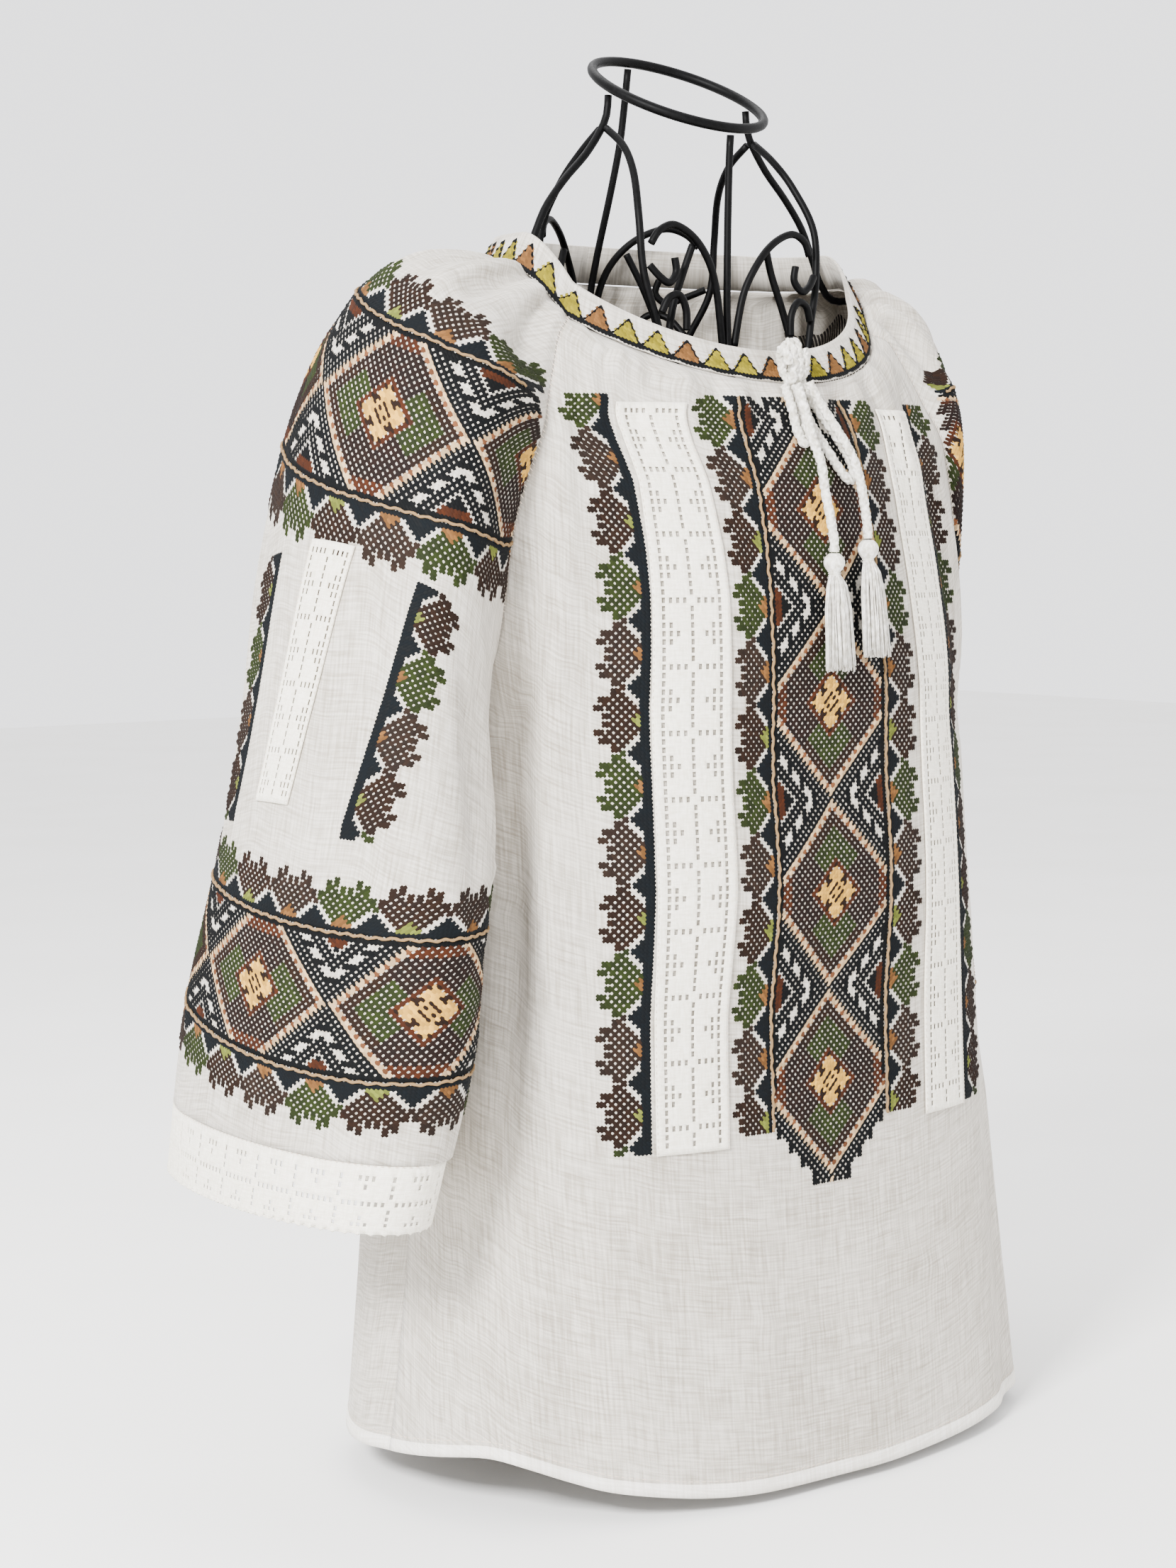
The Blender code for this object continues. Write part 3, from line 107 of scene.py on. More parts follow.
SLEEVE_FIELDS = (
    "seam_out", "seam_up", "opening", "half_depth", "top_out", "top_up", "swing", "slant", "whole"
)
SLEEVES = {
    Side.RIGHT: (
        (0.118, 0.667, -65, 0.0980, 0.130, 0.697, 0.000, 0.00, 0.0),
        (0.130, 0.657, -35, 0.0635, 0.158, 0.703, 0.000, 0.00, 0.0),
        (0.145, 0.625, 0, 0.0620, 0.190, 0.700, 0.000, 0.00, 0.0),
        (0.158, 0.594, 30, 0.0790, 0.219, 0.680, -0.002, 0.00, 0.0),
        (0.172, 0.546, 43, 0.0850, 0.247, 0.630, -0.004, 0.00, 0.0),
        (0.176, 0.480, 56, 0.0890, 0.270, 0.550, -0.007, 0.00, 0.0),
        (0.180, 0.415, 90, 0.0920, 0.284, 0.460, -0.010, 0.00, 0.0),
        (0.191, 0.375, 90, 0.1010, 0.294, 0.395, -0.011, 0.01, 0.7),
        (0.203, 0.320, 90, 0.1120, 0.304, 0.325, -0.006, 0.02, 1.0),
        (0.211, 0.250, 90, 0.1190, 0.312, 0.253, 0.003, 0.03, 1.0),
        (0.216, 0.174, 90, 0.1130, 0.315, 0.176, 0.019, 0.03, 1.0),
    ),
    Side.LEFT: (
        (0.118, 0.667, -65, 0.0980, 0.130, 0.697, 0.000, 0.00, 0.0),
        (0.130, 0.657, -35, 0.0635, 0.154, 0.702, 0.004, 0.00, 0.0),
        (0.145, 0.625, 0, 0.0620, 0.176, 0.694, 0.010, 0.00, 0.0),
        (0.158, 0.594, 30, 0.0750, 0.191, 0.669, 0.024, 0.00, 0.0),
        (0.172, 0.546, 35, 0.0740, 0.203, 0.621, 0.045, 0.00, 0.0),
        (0.176, 0.480, 46, 0.0720, 0.217, 0.548, 0.066, 0.00, 0.0),
        (0.180, 0.415, 90, 0.0740, 0.228, 0.455, 0.078, 0.00, 0.0),
        (0.191, 0.375, 90, 0.0800, 0.242, 0.390, 0.084, 0.01, 0.7),
        (0.199, 0.325, 90, 0.0900, 0.265, 0.330, 0.090, 0.02, 1.0),
        (0.204, 0.265, 90, 0.0990, 0.282, 0.268, 0.093, 0.03, 1.0),
        (0.208, 0.205, 90, 0.1000, 0.288, 0.207, 0.095, 0.03, 1.0),
    ),
}
BODY_FIELDS = (
    "front_up", "front_depth", "front_square", "back_up", "back_depth", "back_square",
    "side_out", "side_up", "shift",
)
BODY = (
    (0.631, 0.098, 2.0, 0.700, 0.098, 2.0, 0.118, 0.667, 0.000),
    (0.606, 0.110, 1.8, 0.662, 0.108, 2.0, 0.130, 0.657, 0.000),
    (0.577, 0.123, 1.5, 0.616, 0.118, 2.0, 0.145, 0.625, 0.000),
    (0.546, 0.130, 1.5, 0.566, 0.125, 2.0, 0.158, 0.594, 0.000),
    (0.505, 0.134, 1.8, 0.516, 0.128, 2.1, 0.172, 0.546, 0.000),
    (0.460, 0.136, 2.2, 0.465, 0.129, 2.2, 0.176, 0.480, 0.000),
    (0.415, 0.137, 2.4, 0.415, 0.130, 2.3, 0.180, 0.415, 0.000),
    (0.330, 0.138, 2.6, 0.330, 0.132, 2.4, 0.184, 0.330, 0.001),
    (0.220, 0.137, 2.7, 0.220, 0.134, 2.4, 0.197, 0.220, 0.002),
    (0.110, 0.142, 2.6, 0.110, 0.137, 2.4, 0.208, 0.110, 0.004),
    (0.000, 0.152, 2.5, 0.000, 0.142, 2.4, 0.221, 0.000, 0.005),
)
UNDERARM = 6
CUFF_SECTION = 9.43
BACK_SEAM_RISE = (0.030, 0.028, 0.020, 0.012, 0.006, 0.0, 0.0)
# How far the hem stands above its lowest level, by degrees round from the front to the left
HEM_LIFTS = (
    (-180, 0.010), (-140, 0.013), (-100, 0.016), (-80, 0.026), (-62, 0.034), (-46, 0.016), (-20, 0.002),
    (0, 0.000), (30, 0.003), (60, 0.006), (90, 0.002), (130, 0.004), (180, 0.010),
)
HEM_LIFT_REACH = 0.40
# How much the gathers narrow the front's layout, by height
LAYOUT_WIDTHS = ((0.20, 1.0), (0.45, 1.0), (0.52, 0.96), (0.575, 0.93), (0.60, 0.95), (0.63, 1.0))
# How far the cloth's skew moves the layout towards the wearer's left, by distance across and by height
LAYOUT_SHIFTS = (
    (-0.160, 0.0090), (-0.129, 0.0095), (-0.124, 0.0060), (-0.081, 0.0105), (-0.0765, 0.0095),
    (-0.0445, 0.0028), (0.0, 0.0), (0.20, 0.0),
)
SHIFT_REACH = (
    (0.20, 0.55), (0.275, 0.60), (0.345, 1.0), (0.51, 1.0), (0.5375, 0.8), (0.567, 0.4), (0.596, 0.0),
    (0.63, 0.0),
)
# How far the middle of the layout sways from side to side, over what height, and how wide that reaches
SWAY = 0.0030
SWAY_PERIOD = 0.165
SWAY_FROM = 0.345
SWAY_REACH = 0.085
SWAY_SHARES = ((0.20, 0.0), (0.28, 1.0), (0.40, 1.0), (0.46, 0.0))

# Folds, in tenths of a millimetre: where each starts and ends, across from the piece's middle and down
# from the neckline, how wide it is and how far it stands out or in
FOLD_FIELDS = ("start_across", "start_down", "end_across", "end_down", "width", "height")
FOLDS = {
    "front": (
        (-2050, 3000, -2160, 8600, 190, 45), (-1760, 4000, -1810, 8200, 140, -30),
        (2120, 2600, 2050, 8400, 200, 50), (1800, 3600, 1780, 8000, 140, -32),
        (200, 4600, 340, 8400, 300, 20), (-600, 4200, -740, 8400, 320, 24),
    ),
    "back": (
        (-1700, 1000, -1960, 8600, 220, 50), (-1050, 1600, -1180, 8400, 240, -40),
        (-460, 1000, -600, 8800, 230, 52), (200, 1400, 260, 8600, 220, -38),
        (780, 1000, 940, 8800, 240, 50), (1480, 1400, 1760, 8600, 220, -36),
        (1960, 2400, 2220, 8600, 180, 40),
    ),
    "right": (
        (-1100, 500, -820, 4000, 200, 42), (-1500, 1000, -1280, 4600, 220, -46),
        (-1760, 2000, -1660, 6200, 220, 48), (880, 600, 760, 4400, 200, 44),
        (1320, 1000, 1220, 4800, 220, -44), (1760, 1800, 1700, 6000, 220, 46),
    ),
    "left": (
        (-940, 500, -760, 4200, 200, 40), (-1280, 1000, -1120, 4400, 180, -26),
        (820, 600, 800, 4400, 200, 44), (1220, 1000, 1140, 4600, 180, -30),
    ),
}
# Smaller creases of the same kind, which only show close by
CREASES = {
    "front": (
        (-1640, 200, -1880, 4600, 120, 80), (-1850, 600, -2110, 5400, 140, -104),
        (-1500, -200, -1580, 1000, 60, -30), (-1360, -200, -1400, 700, 50, 22),
        (1660, 200, 1880, 4200, 130, 58), (1840, 600, 2060, 4800, 130, -62),
        (1280, 0, 1500, 2200, 100, -36), (1040, 0, 1080, 1000, 70, 22), (880, 0, 900, 700, 60, -18),
        (-1120, 0, -1140, 800, 60, -20), (-1200, 5000, -200, 5700, 120, 20),
        (-1700, 4600, -1000, 5500, 120, -22), (300, 5000, 1100, 5600, 120, 18),
        (-1600, 3000, -2300, 3800, 60, 11), (-1680, 500, -1500, 2400, 70, 12),
        (-1850, 1000, -1720, 3400, 80, -13), (1650, 500, 1520, 2200, 70, 12),
        (1860, 1200, 1760, 3600, 80, -12), (-1900, 5000, -1200, 6000, 90, 10),
        (1200, 5200, 1900, 6000, 90, 10), (-500, 5400, 600, 5850, 80, 9),
        (-2150, 5200, -1900, 7000, 100, -14), (2260, 4600, 2360, 7200, 100, -14),
    ),
    "back": (
        (-1600, 400, -1820, 4600, 110, 40), (1600, 400, 1800, 4400, 110, 40),
        (-1000, 6000, 0, 6700, 120, 20), (-1400, 600, -1500, 3000, 80, 12),
        (-800, 400, -840, 2600, 80, -12), (-120, 500, -100, 3000, 90, 12),
        (520, 500, 600, 2800, 80, -12), (1160, 500, 1280, 3000, 80, 12),
        (-1800, 4400, -600, 5200, 100, 10), (700, 5000, 1900, 5800, 100, 10),
    ),
    "right": (
        (-240, 0, -340, 1000, 60, 30), (60, 0, 40, 900, 60, -28), (340, 0, 400, 1000, 60, 30),
        (-1280, 2000, -1820, 4200, 90, 34), (-1100, 2400, -1500, 4400, 80, -30),
        (-1500, 1600, -2150, 3600, 90, -36), (-850, 3700, -1500, 4400, 70, 22),
        (1000, 2200, 1400, 4600, 100, 30), (-500, -200, -600, 1000, 60, 26),
        (-780, -200, -920, 1200, 60, -26), (-600, 200, -520, 2000, 70, 12),
        (-860, 300, -700, 2200, 70, -12), (300, 200, 300, 1600, 70, 10), (580, 300, 540, 2000, 70, -12),
        (-2150, 3400, -1200, 4100, 70, 15), (-2250, 3700, -1400, 4600, 60, -12),
        (-2200, 4200, -1500, 5000, 80, 12), (2150, 3600, 1200, 4300, 70, 14),
        (-1000, 4600, -700, 6000, 100, 12), (900, 4600, 600, 6000, 100, 12),
    ),
    "left": (
        (-600, 0, -1000, 2200, 130, -44), (-300, 0, -560, 1800, 110, 18), (0, 0, -160, 1200, 100, -28),
        (-1000, 2200, -1360, 4000, 80, 22), (-860, 2400, -1100, 4200, 80, -22),
        (960, 2200, 1260, 4200, 90, 24), (-480, -200, -560, 1000, 60, 24),
        (740, -200, 860, 1200, 60, -24), (-520, 200, -460, 2000, 70, 12),
        (-780, 300, -620, 2200, 70, -12), (280, 200, 300, 1600, 70, 10), (560, 300, 520, 2000, 70, -12),
        (-1600, 3300, -1000, 4000, 70, 10), (-900, 4400, -640, 5800, 100, 12),
        (860, 4400, 600, 5800, 100, 12),
    ),
}


def in_metres(rows: tuple) -> tuple:
    """Turns rows of tenths of a millimetre into metres."""
    return tuple(tuple(value / 10000 for value in row) for row in rows)


def read_table(rows: tuple, fields: tuple, at: Array) -> dict:
    """Reads a table on smooth curves through its rows.

    Args:
        rows: The table's rows.
        fields: The names of its columns.
        at: Row numbers to read at, whole or not.

    Returns:
        Each field's values at those row numbers.
    """
    table = np.array(rows, float)
    last = len(table) - 1
    at = np.clip(np.asarray(at, float), 0, last)
    low = np.minimum(at.astype(int), last - 1)
    part = (at - low)[:, None]
    start, end = table[low], table[low + 1]
    slope_start = (end - table[np.maximum(low - 1, 0)]) / 2
    slope_end = (table[np.minimum(low + 2, last)] - start) / 2
    square, cube = part**2, part**3
    values = (2 * cube - 3 * square + 1) * start + (cube - 2 * square + part) * slope_start
    values += (3 * square - 2 * cube) * end + (cube - square) * slope_end
    return {name: values[:, i] for i, name in enumerate(fields)}


def steps_of(points: Array) -> Array:
    """Returns the distances between neighbouring points of a line."""
    return np.linalg.norm(np.diff(points, axis=0), axis=1)


def distances(points: Array) -> Array:
    """Returns how far along a line each of its points is."""
    return np.concatenate([[0.0], np.cumsum(steps_of(points))])


def read_along(places: Array, along: Array, values: Array) -> Array:
    """Reads points or normals, known at distances along a line, at other places along it."""
    return np.stack([np.interp(places, along, values[:, i]) for i in range(3)], axis=1)


def spread(points: Array, count: int) -> Array:
    """Returns a row of points set out again at even distances."""
    along = distances(points)
    return read_along(np.linspace(0, along[-1], count), along, points)


def along_grid(points: Array, axis: int) -> Array:
    """Returns how far down a grid's columns (axis 0) or across its rows (axis 1) its points are."""
    steps = np.diff(points, axis=axis, prepend=points.take([0], axis))
    return np.linalg.norm(steps, axis=2).cumsum(axis)


def turns(count: int) -> Array:
    """Returns even angles once round."""
    return 2 * math.pi * np.arange(count) / count


def look_up(at: Array | float, pairs: tuple) -> Array:
    """Reads a table of (place, value) pairs between its places."""
    return np.interp(at, *np.array(pairs, float).T)


def unit(vectors: Array) -> Array:
    """Returns vectors at length 1."""
    return vectors / np.maximum(np.linalg.norm(vectors, axis=-1, keepdims=True), 1e-12)


def seam_deep(section: float) -> float:
    """Returns how far the raglan seams lie in front of and behind the sides, at a section."""
    row = read_table(SLEEVES[Side.RIGHT], SLEEVE_FIELDS, [min(section, UNDERARM)])
    return row["half_depth"][0] * math.cos(math.radians(min(row["opening"][0], 90.0)))


def back_seam_rise(section: float) -> float:
    """Returns how much higher a raglan seam lies at the back than at the front, at a section."""
    return float(np.interp(section, range(len(BACK_SEAM_RISE)), BACK_SEAM_RISE))


def sleeve_rows(side: Side, columns: int, at: Array) -> Array:
    """Works out rows of a sleeve, each from the front seam over the top to the back seam.

    Args:
        side: Which sleeve.
        columns: How many spaces a row has.
        at: The section number of each row.

    Returns:
        A grid of points, by row and column.
    """
    rows = read_table(SLEEVES[side], SLEEVE_FIELDS, at)
    grid = []
    for i, section in enumerate(at):
        opening = math.radians(min(rows["opening"][i], 90.0))
        inner = np.array([rows["seam_out"][i], rows["seam_up"][i]])
        outer = np.array([rows["top_out"][i], rows["top_up"][i]])
        reach = np.linalg.norm(outer - inner)
        way = (outer - inner) / reach
        half = reach / (1 + math.sin(opening))
        centre = inner + way * half * math.sin(opening)
        turn = np.linspace(-opening, math.pi + opening, 241)
        lift = (np.sin(turn) + math.sin(opening)) / (1 + math.sin(opening))
        weight = lift + (1 - lift) * rows["whole"][i]
        across = -rows["half_depth"][i] * np.cos(turn)
        if section < UNDERARM:
            own = rows["half_depth"][i] * math.cos(opening)
            across *= 1 + (seam_deep(section) / max(own, 1e-6) - 1) * (1 - lift)
        out = centre[0] + way[0] * half * np.sin(turn)
        up = centre[1] + way[1] * half * np.sin(turn) + rows["slant"][i] * across * weight
        up += back_seam_rise(section) * (1 - lift) * (across > 0)
        row = np.stack([side.value * out, across + rows["swing"][i] * weight, up], axis=1)
        grid.append(spread(row, columns + 1))
    return np.array(grid)


def hem_lift(degrees: Array) -> Array:
    """Returns how far the hem is lifted, at angles round from the front."""
    fine = np.arange(-180, 181, 2.0)
    rough = look_up(fine, HEM_LIFTS)
    kernel = np.hanning(15)
    kernel /= kernel.sum()
    smooth = np.convolve(np.concatenate([rough[-8:-1], rough, rough[1:8]]), kernel, "same")[7:-7]
    return np.interp(degrees, fine, smooth)


def body_rows(face: int, columns: int, at: Array) -> Array:
    """Works out rows of the front or the back, each from the right seam to the left seam.

    Args:
        face: -1 for the front, 1 for the back.
        columns: How many spaces a row has.
        at: The section number of each row.

    Returns:
        A grid of points, by row and column.
    """
    rows = read_table(BODY, BODY_FIELDS, at)
    sleeve = read_table(SLEEVES[Side.RIGHT], SLEEVE_FIELDS, np.minimum(at, UNDERARM))
    name = "front" if face < 0 else "back"
    grid = []
    for i, section in enumerate(at):
        depth, centre_up = rows[name + "_depth"][i], rows[name + "_up"][i]
        end_out, end_up, end_y = rows["side_out"][i], rows["side_up"][i], 0.0
        if section <= UNDERARM:
            end_out, end_y = sleeve["seam_out"][i], seam_deep(section)
            end_up = sleeve["seam_up"][i] + (back_seam_rise(section) if face > 0 else 0.0)
        square = rows[name + "_square"][i]
        turn_end = math.acos((end_y / depth) ** (square / 2))
        turn = np.linspace(-turn_end, turn_end, 481)
        sine, cosine = np.sin(turn), np.maximum(np.cos(turn), 0)
        out = end_out / math.sin(turn_end) ** (2 / square) * np.sign(sine) * np.abs(sine) ** (2 / square)
        rise = (1 - np.cos(turn)) / (1 - math.cos(turn_end))
        back_middle = np.where(sine < 0, -math.pi, math.pi)
        angle = np.degrees(turn) if face < 0 else np.degrees(back_middle - turn)
        hang = max(0.0, 1 - centre_up / HEM_LIFT_REACH) ** 2
        up = centre_up + (end_up - centre_up) * rise + hem_lift(angle) * hang
        row = np.stack([out + rows["shift"][i], face * depth * cosine ** (2 / square), up], axis=1)
        grid.append(spread(row, columns + 1))
    return np.array(grid)


def neckline(turn: float) -> Array:
    """Returns a point of the neckline. turn is 0 at the front and 90 degrees at the left side."""
    body = dict(zip(BODY_FIELDS, BODY[0]))
    sleeve = dict(zip(SLEEVE_FIELDS, SLEEVES[Side.RIGHT][0]))
    end_turn = math.acos(seam_deep(0) / body["front_depth"])
    back = abs(turn) > math.pi / 2
    centre_up = body["back_up"] if back else body["front_up"]
    from_centre = math.pi - abs(turn) if back else abs(turn)
    seam_up = sleeve["seam_up"] + (back_seam_rise(0) if back else 0.0)
    if from_centre <= end_turn:
        up = centre_up + (seam_up - centre_up) * (1 - math.cos(from_centre)) / (1 - math.cos(end_turn))
    else:
        low = math.sin(math.radians(sleeve["opening"]))
        up = seam_up + (sleeve["top_up"] - seam_up) * (math.sin(from_centre) + low) / (1 + low)
    wide = body["side_out"] / math.sin(end_turn)
    return np.array([wide * math.sin(turn), -body["front_depth"] * math.cos(turn), up])


# Cloth grids


@dataclass
class ClothGrid:
    """The outer face of one piece of cloth, as a grid of points.

    Attributes:
        outward: 1 if across times down points out of the blouse, -1 if it points in.
        points: The points, by row and column.
        held_columns: How many columns the seams' hold on the folds is measured in.
    """

    outward: int
    points: Array
    held_columns: int
    normals: Array = field(init=False)
    down: Array = field(init=False)
    across: Array = field(init=False)

    def __post_init__(self) -> None:
        self.measure()

    def measure(self) -> None:
        """Works out normals and the distances along the cloth, down and across."""
        down = np.gradient(self.points, axis=0)
        across = np.gradient(self.points, axis=1)
        self.normals = unit(np.cross(across, down)) * self.outward
        self.down, along = along_grid(self.points, 0), along_grid(self.points, 1)
        middle = self.points.shape[1] // 2
        self.across = along - along[:, middle : middle + 1]

    def held(self) -> Array:
        """Returns 1 over the piece and 0 at the seams at its two ends."""
        share = np.linspace(0, 1, self.points.shape[1])
        return np.clip(np.minimum(share, 1 - share) * self.held_columns / 3.5, 0, 1)

    def press(self, folds: tuple) -> None:
        """Presses the folds of a table out or in along their lines."""
        height = np.zeros(self.down.shape)
        for fold in folds:
            row = dict(zip(FOLD_FIELDS, fold))
            part = np.clip((self.down - row["start_down"]) / (row["end_down"] - row["start_down"]), 0, 1)
            line = row["start_across"] + (row["end_across"] - row["start_across"]) * part
            shape = np.exp(-(((self.across - line) / row["width"]) ** 2))
            height += row["height"] * np.sin(math.pi * part) * shape
        self.points = self.points + self.normals * (height * self.held())[:, :, None]

    def gather(self, waves: int, phase: float, flat_half: float) -> None:
        """Presses the gathers under the neck band into the cloth.

        Args:
            waves: How many gathers there are across the piece.
            phase: Where they start.
            flat_half: Within this distance of the middle, stitching holds the cloth flatter.
        """
        share = np.linspace(0, 1, self.points.shape[1])
        wobble = share + 0.012 * np.sin(2 * math.pi * 2.3 * share + phase)
        wave = np.sin(2 * math.pi * waves * wobble)
        fine = 0.30 * np.sin(2 * math.pi * waves * 2.7 * wobble + 1.1 + phase)
        reach = np.where(np.abs(self.across) < flat_half, STITCHED_REACH, GATHER_REACH)
        fade = np.exp(-((self.down / reach) ** 2))
        rise = np.clip(self.down / GATHER_START, 0.15, 1)
        height = GATHER * rise * (wave + fine * np.exp(-self.down / 0.05)) * self.held() * fade
        moved = self.points + self.normals * height[:, :, None]
        moved[0] = self.points[0]
        moved[0, :, :2] += self.normals[0, :, :2] * height[0, :, None] * 0.15
        self.points = moved

    def at(self, row: Array, column: Array) -> tuple:
        """Finds points and normals between the grid's own.

        Args:
            row: Row numbers, whole or not.
            column: Column numbers, whole or not.

        Returns:
            The points and the normals there.
        """
        rows, columns = self.points.shape[:2]
        r = np.clip(row, 0, rows - 1.001)
        c = np.clip(column, 0, columns - 1.001)
        r0, c0 = r.astype(int), c.astype(int)
        fr, fc = (r - r0)[..., None], (c - c0)[..., None]
        found = []
        for values in (self.points, self.normals):
            top = values[r0, c0] * (1 - fc) + values[r0, c0 + 1] * fc
            low = values[r0 + 1, c0] * (1 - fc) + values[r0 + 1, c0 + 1] * fc
            found.append(top * (1 - fr) + low * fr)
        return found[0], unit(found[1])


def even_rows(grid_of: Callable, last: float, step: float) -> Array:
    """Returns section numbers whose rows lie about evenly down a piece, with three more in its hem."""
    rough = np.linspace(0, last, 60)
    grid = grid_of(rough)
    middle = grid[:, grid.shape[1] // 2]
    along = distances(middle)
    fold = along[-1] - HEM
    places = np.linspace(0, fold, int(fold / step) + 1)
    return np.interp(np.append(places, along[-1] - HEM * np.array([0.93, 0.5, 0.0])), along, rough)


def cloth_grids() -> dict:
    """Works out the four large pieces of cloth, with their gathers, folds and creases."""
    wanted = {
        "front": (-1, 43, 9, 0.150, lambda at: body_rows(-1, 120, at), 10.0, 0.0046),
        "back": (1, 35, 9, 0.0, lambda at: body_rows(1, 96, at), 10.0, 0.0062),
        "right": (1, 27, 6, 0.0, lambda at: sleeve_rows(Side.RIGHT, 100, at), CUFF_SECTION, 0.0054),
        "left": (-1, 27, 6, 0.0, lambda at: sleeve_rows(Side.LEFT, 100, at), CUFF_SECTION, 0.0058),
    }
    grids = {}
    for i, (key, (outward, held, waves, flat, grid_of, last, step)) in enumerate(wanted.items()):
        grid = ClothGrid(outward, grid_of(even_rows(grid_of, last, step)), held)
        grid.press(in_metres(FOLDS[key]))
        grid.gather(waves, 0.7 * i, flat)
        grid.measure()
        grid.press(in_metres(CREASES[key]))
        grid.measure()
        grids[key] = grid
    return grids


def placed(points: Array) -> Array:
    """Moves points measured from the form's axis and the hem into the frame."""
    return np.asarray(points, float) + AXIS


# Layouts on the cloth


def laid(across: Array, up: float) -> Array:
    """Returns where distances across the front's flat layout lie on the hanging cloth, at a height."""
    narrowed = across * look_up(up, LAYOUT_WIDTHS)
    skew = look_up(across, LAYOUT_SHIFTS) * look_up(up, SHIFT_REACH)
    wave = SWAY * math.cos(2 * math.pi * (up - SWAY_FROM) / SWAY_PERIOD) * look_up(up, SWAY_SHARES)
    return narrowed + skew + wave * np.exp(-((across / SWAY_REACH) ** 2))


class FrontLayout:
    """Finds places on the front by distance from its centre line and distance down it."""

    def __init__(self, grid: ClothGrid) -> None:
        self.grid = grid
        centre = grid.points[:, grid.points.shape[1] // 2]
        self.along_centre = distances(centre)
        self.centre_up = centre[:, 2]

    def down_of(self, up: float) -> float:
        """Returns the distance down the centre line at which the front is at a height."""
        return float(np.interp(up, self.centre_up[::-1], self.along_centre[::-1]))

    def nodes(self, across: Array, down: Array) -> tuple:
        """Finds a lattice of places.

        Args:
            across: Distances from the centre line, to the wearer's left.
            down: Distances down the centre line, from the neckline.

        Returns:
            Points and normals, by place down and place across.
        """
        points = self.grid.points
        columns = np.arange(points.shape[1])
        rows_at, columns_at = [], []
        for up in np.interp(down, self.along_centre, self.centre_up):
            row_of = np.array([np.interp(-up, -points[:, c, 2], np.arange(len(points))) for c in columns])
            level, _ = self.grid.at(row_of, columns.astype(float))
            along = np.concatenate([[0.0], np.cumsum(np.hypot(*np.diff(level[:, :2], axis=0).T))])
            middle = np.interp(0.0, level[:, 0], along)
            column = np.interp(middle + laid(across, up), along, columns)
            rows_at.append(np.interp(column, columns, row_of))
            columns_at.append(column)
        return self.grid.at(np.array(rows_at), np.array(columns_at))


class SleeveLayout:
    """Finds places on a sleeve by distance down its top line and distance across from it."""

    def __init__(self, grid: ClothGrid) -> None:
        self.grid = grid
        self.middle = grid.points.shape[1] // 2
        self.along_top = grid.down[:, self.middle]

    def nodes(self, across: Array, down: Array, drift: Array) -> tuple:
        """Finds a lattice of places.

        Args:
            across: Distances from the lattice's middle line, towards the back.
            down: Distances down the top line, from the neckline.
            drift: How far back of the top line the middle line lies, at each distance down.

        Returns:
            Points and normals, by place down and place across.
        """
        rows, lengths = self.rows_at(down)
        columns = np.arange(lengths.shape[1])
        found = np.array([np.interp(across + off, row, columns) for off, row in zip(drift, lengths)])
        return self.grid.at(np.repeat(rows[:, None], len(across), axis=1), found)

    def rows_at(self, down: Array) -> tuple:
        """Returns the grid's rows at distances down, and the distances across of their columns."""
        rows = np.interp(down, self.along_top, np.arange(len(self.along_top)))
        low = np.minimum(rows.astype(int), len(self.along_top) - 2)
        part = (rows - low)[:, None]
        return rows, self.grid.across[low] * (1 - part) + self.grid.across[low + 1] * part

    def trace(self, across: Array, down: Array) -> tuple:
        """Finds points and normals, one for each across and down, and which are on the cloth."""
        rows, lengths = self.rows_at(down)
        inside = (across > lengths[:, 0] + 0.001) & (across < lengths[:, -1] - 0.001) & (down > 0.006)
        columns = np.arange(lengths.shape[1])
        found = np.array([np.interp(a, row, columns) for a, row in zip(across, lengths)])
        return (*self.grid.at(rows, found), inside)


# Materials


@dataclass(frozen=True)
class Cloth:
    """A woven or knotted cotton or linen finish.

    Attributes:
        name: The material's name.
        pale: sRGB colour of most of it.
        deep: sRGB colour of its slubs and shadows.
        slub: Length of the streaks along a thread, in mm.
        weave: Distance between threads, in mm.
        relief: Depth of the weave, in mm.
    """

    name: str
    pale: str
    deep: str
    slub: float
    weave: float
    relief: float


@dataclass(frozen=True)
class Paint:
    """A painted or plain hard finish, with its colour and how rough it is from place to place."""

    name: str
    colour: str
    worn: str
    smooth: float
    rough: float
    grain: float
    gleam: float = 0.16


LINEN = Cloth("slubby_linen", "#C6C0B6", "#928A7D", 26.0, 0.57, 0.14)
FOLDED_LINEN = Cloth("slubby_linen_folded", "#EAE6DF", "#D0CABF", 26.0, 0.57, 0.12)
LACE = Cloth("crochet_cotton", "#F1ECDF", "#D8D1C0", 7.0, 0.9, 0.16)
CORD = Cloth("plaited_cotton", "#EAE7E0", "#ABA595", 5.0, 0.5, 0.10)
STEEL = Paint("black_satin_paint", "#020202", "#060607", 0.40, 0.60, 3.0, gleam=0.07)
FLOOR = Paint("studio_floor", "#F2F1EF", "#EEEDEA", 0.75, 0.88, 260.0)


# The reverse of the sleeves' bands: middle, half width and bow, in metres; and its bars, in millimetres
REVERSE_BANDS = ((0.169, 0.090, 4.2), (0.489, 0.066, 0.6))
REVERSE_TOOTH = 36.0
REVERSE_BAR = 2.4


def linear(colour: str) -> tuple:
    """Turns an sRGB colour such as #E9E5DC into linear red, green, blue and alpha."""
    parts = [int(colour[i : i + 2], 16) / 255 for i in (1, 3, 5)]
    return tuple(p / 12.92 if p <= 0.04045 else ((p + 0.055) / 1.055) ** 2.4 for p in parts) + (1.0,)


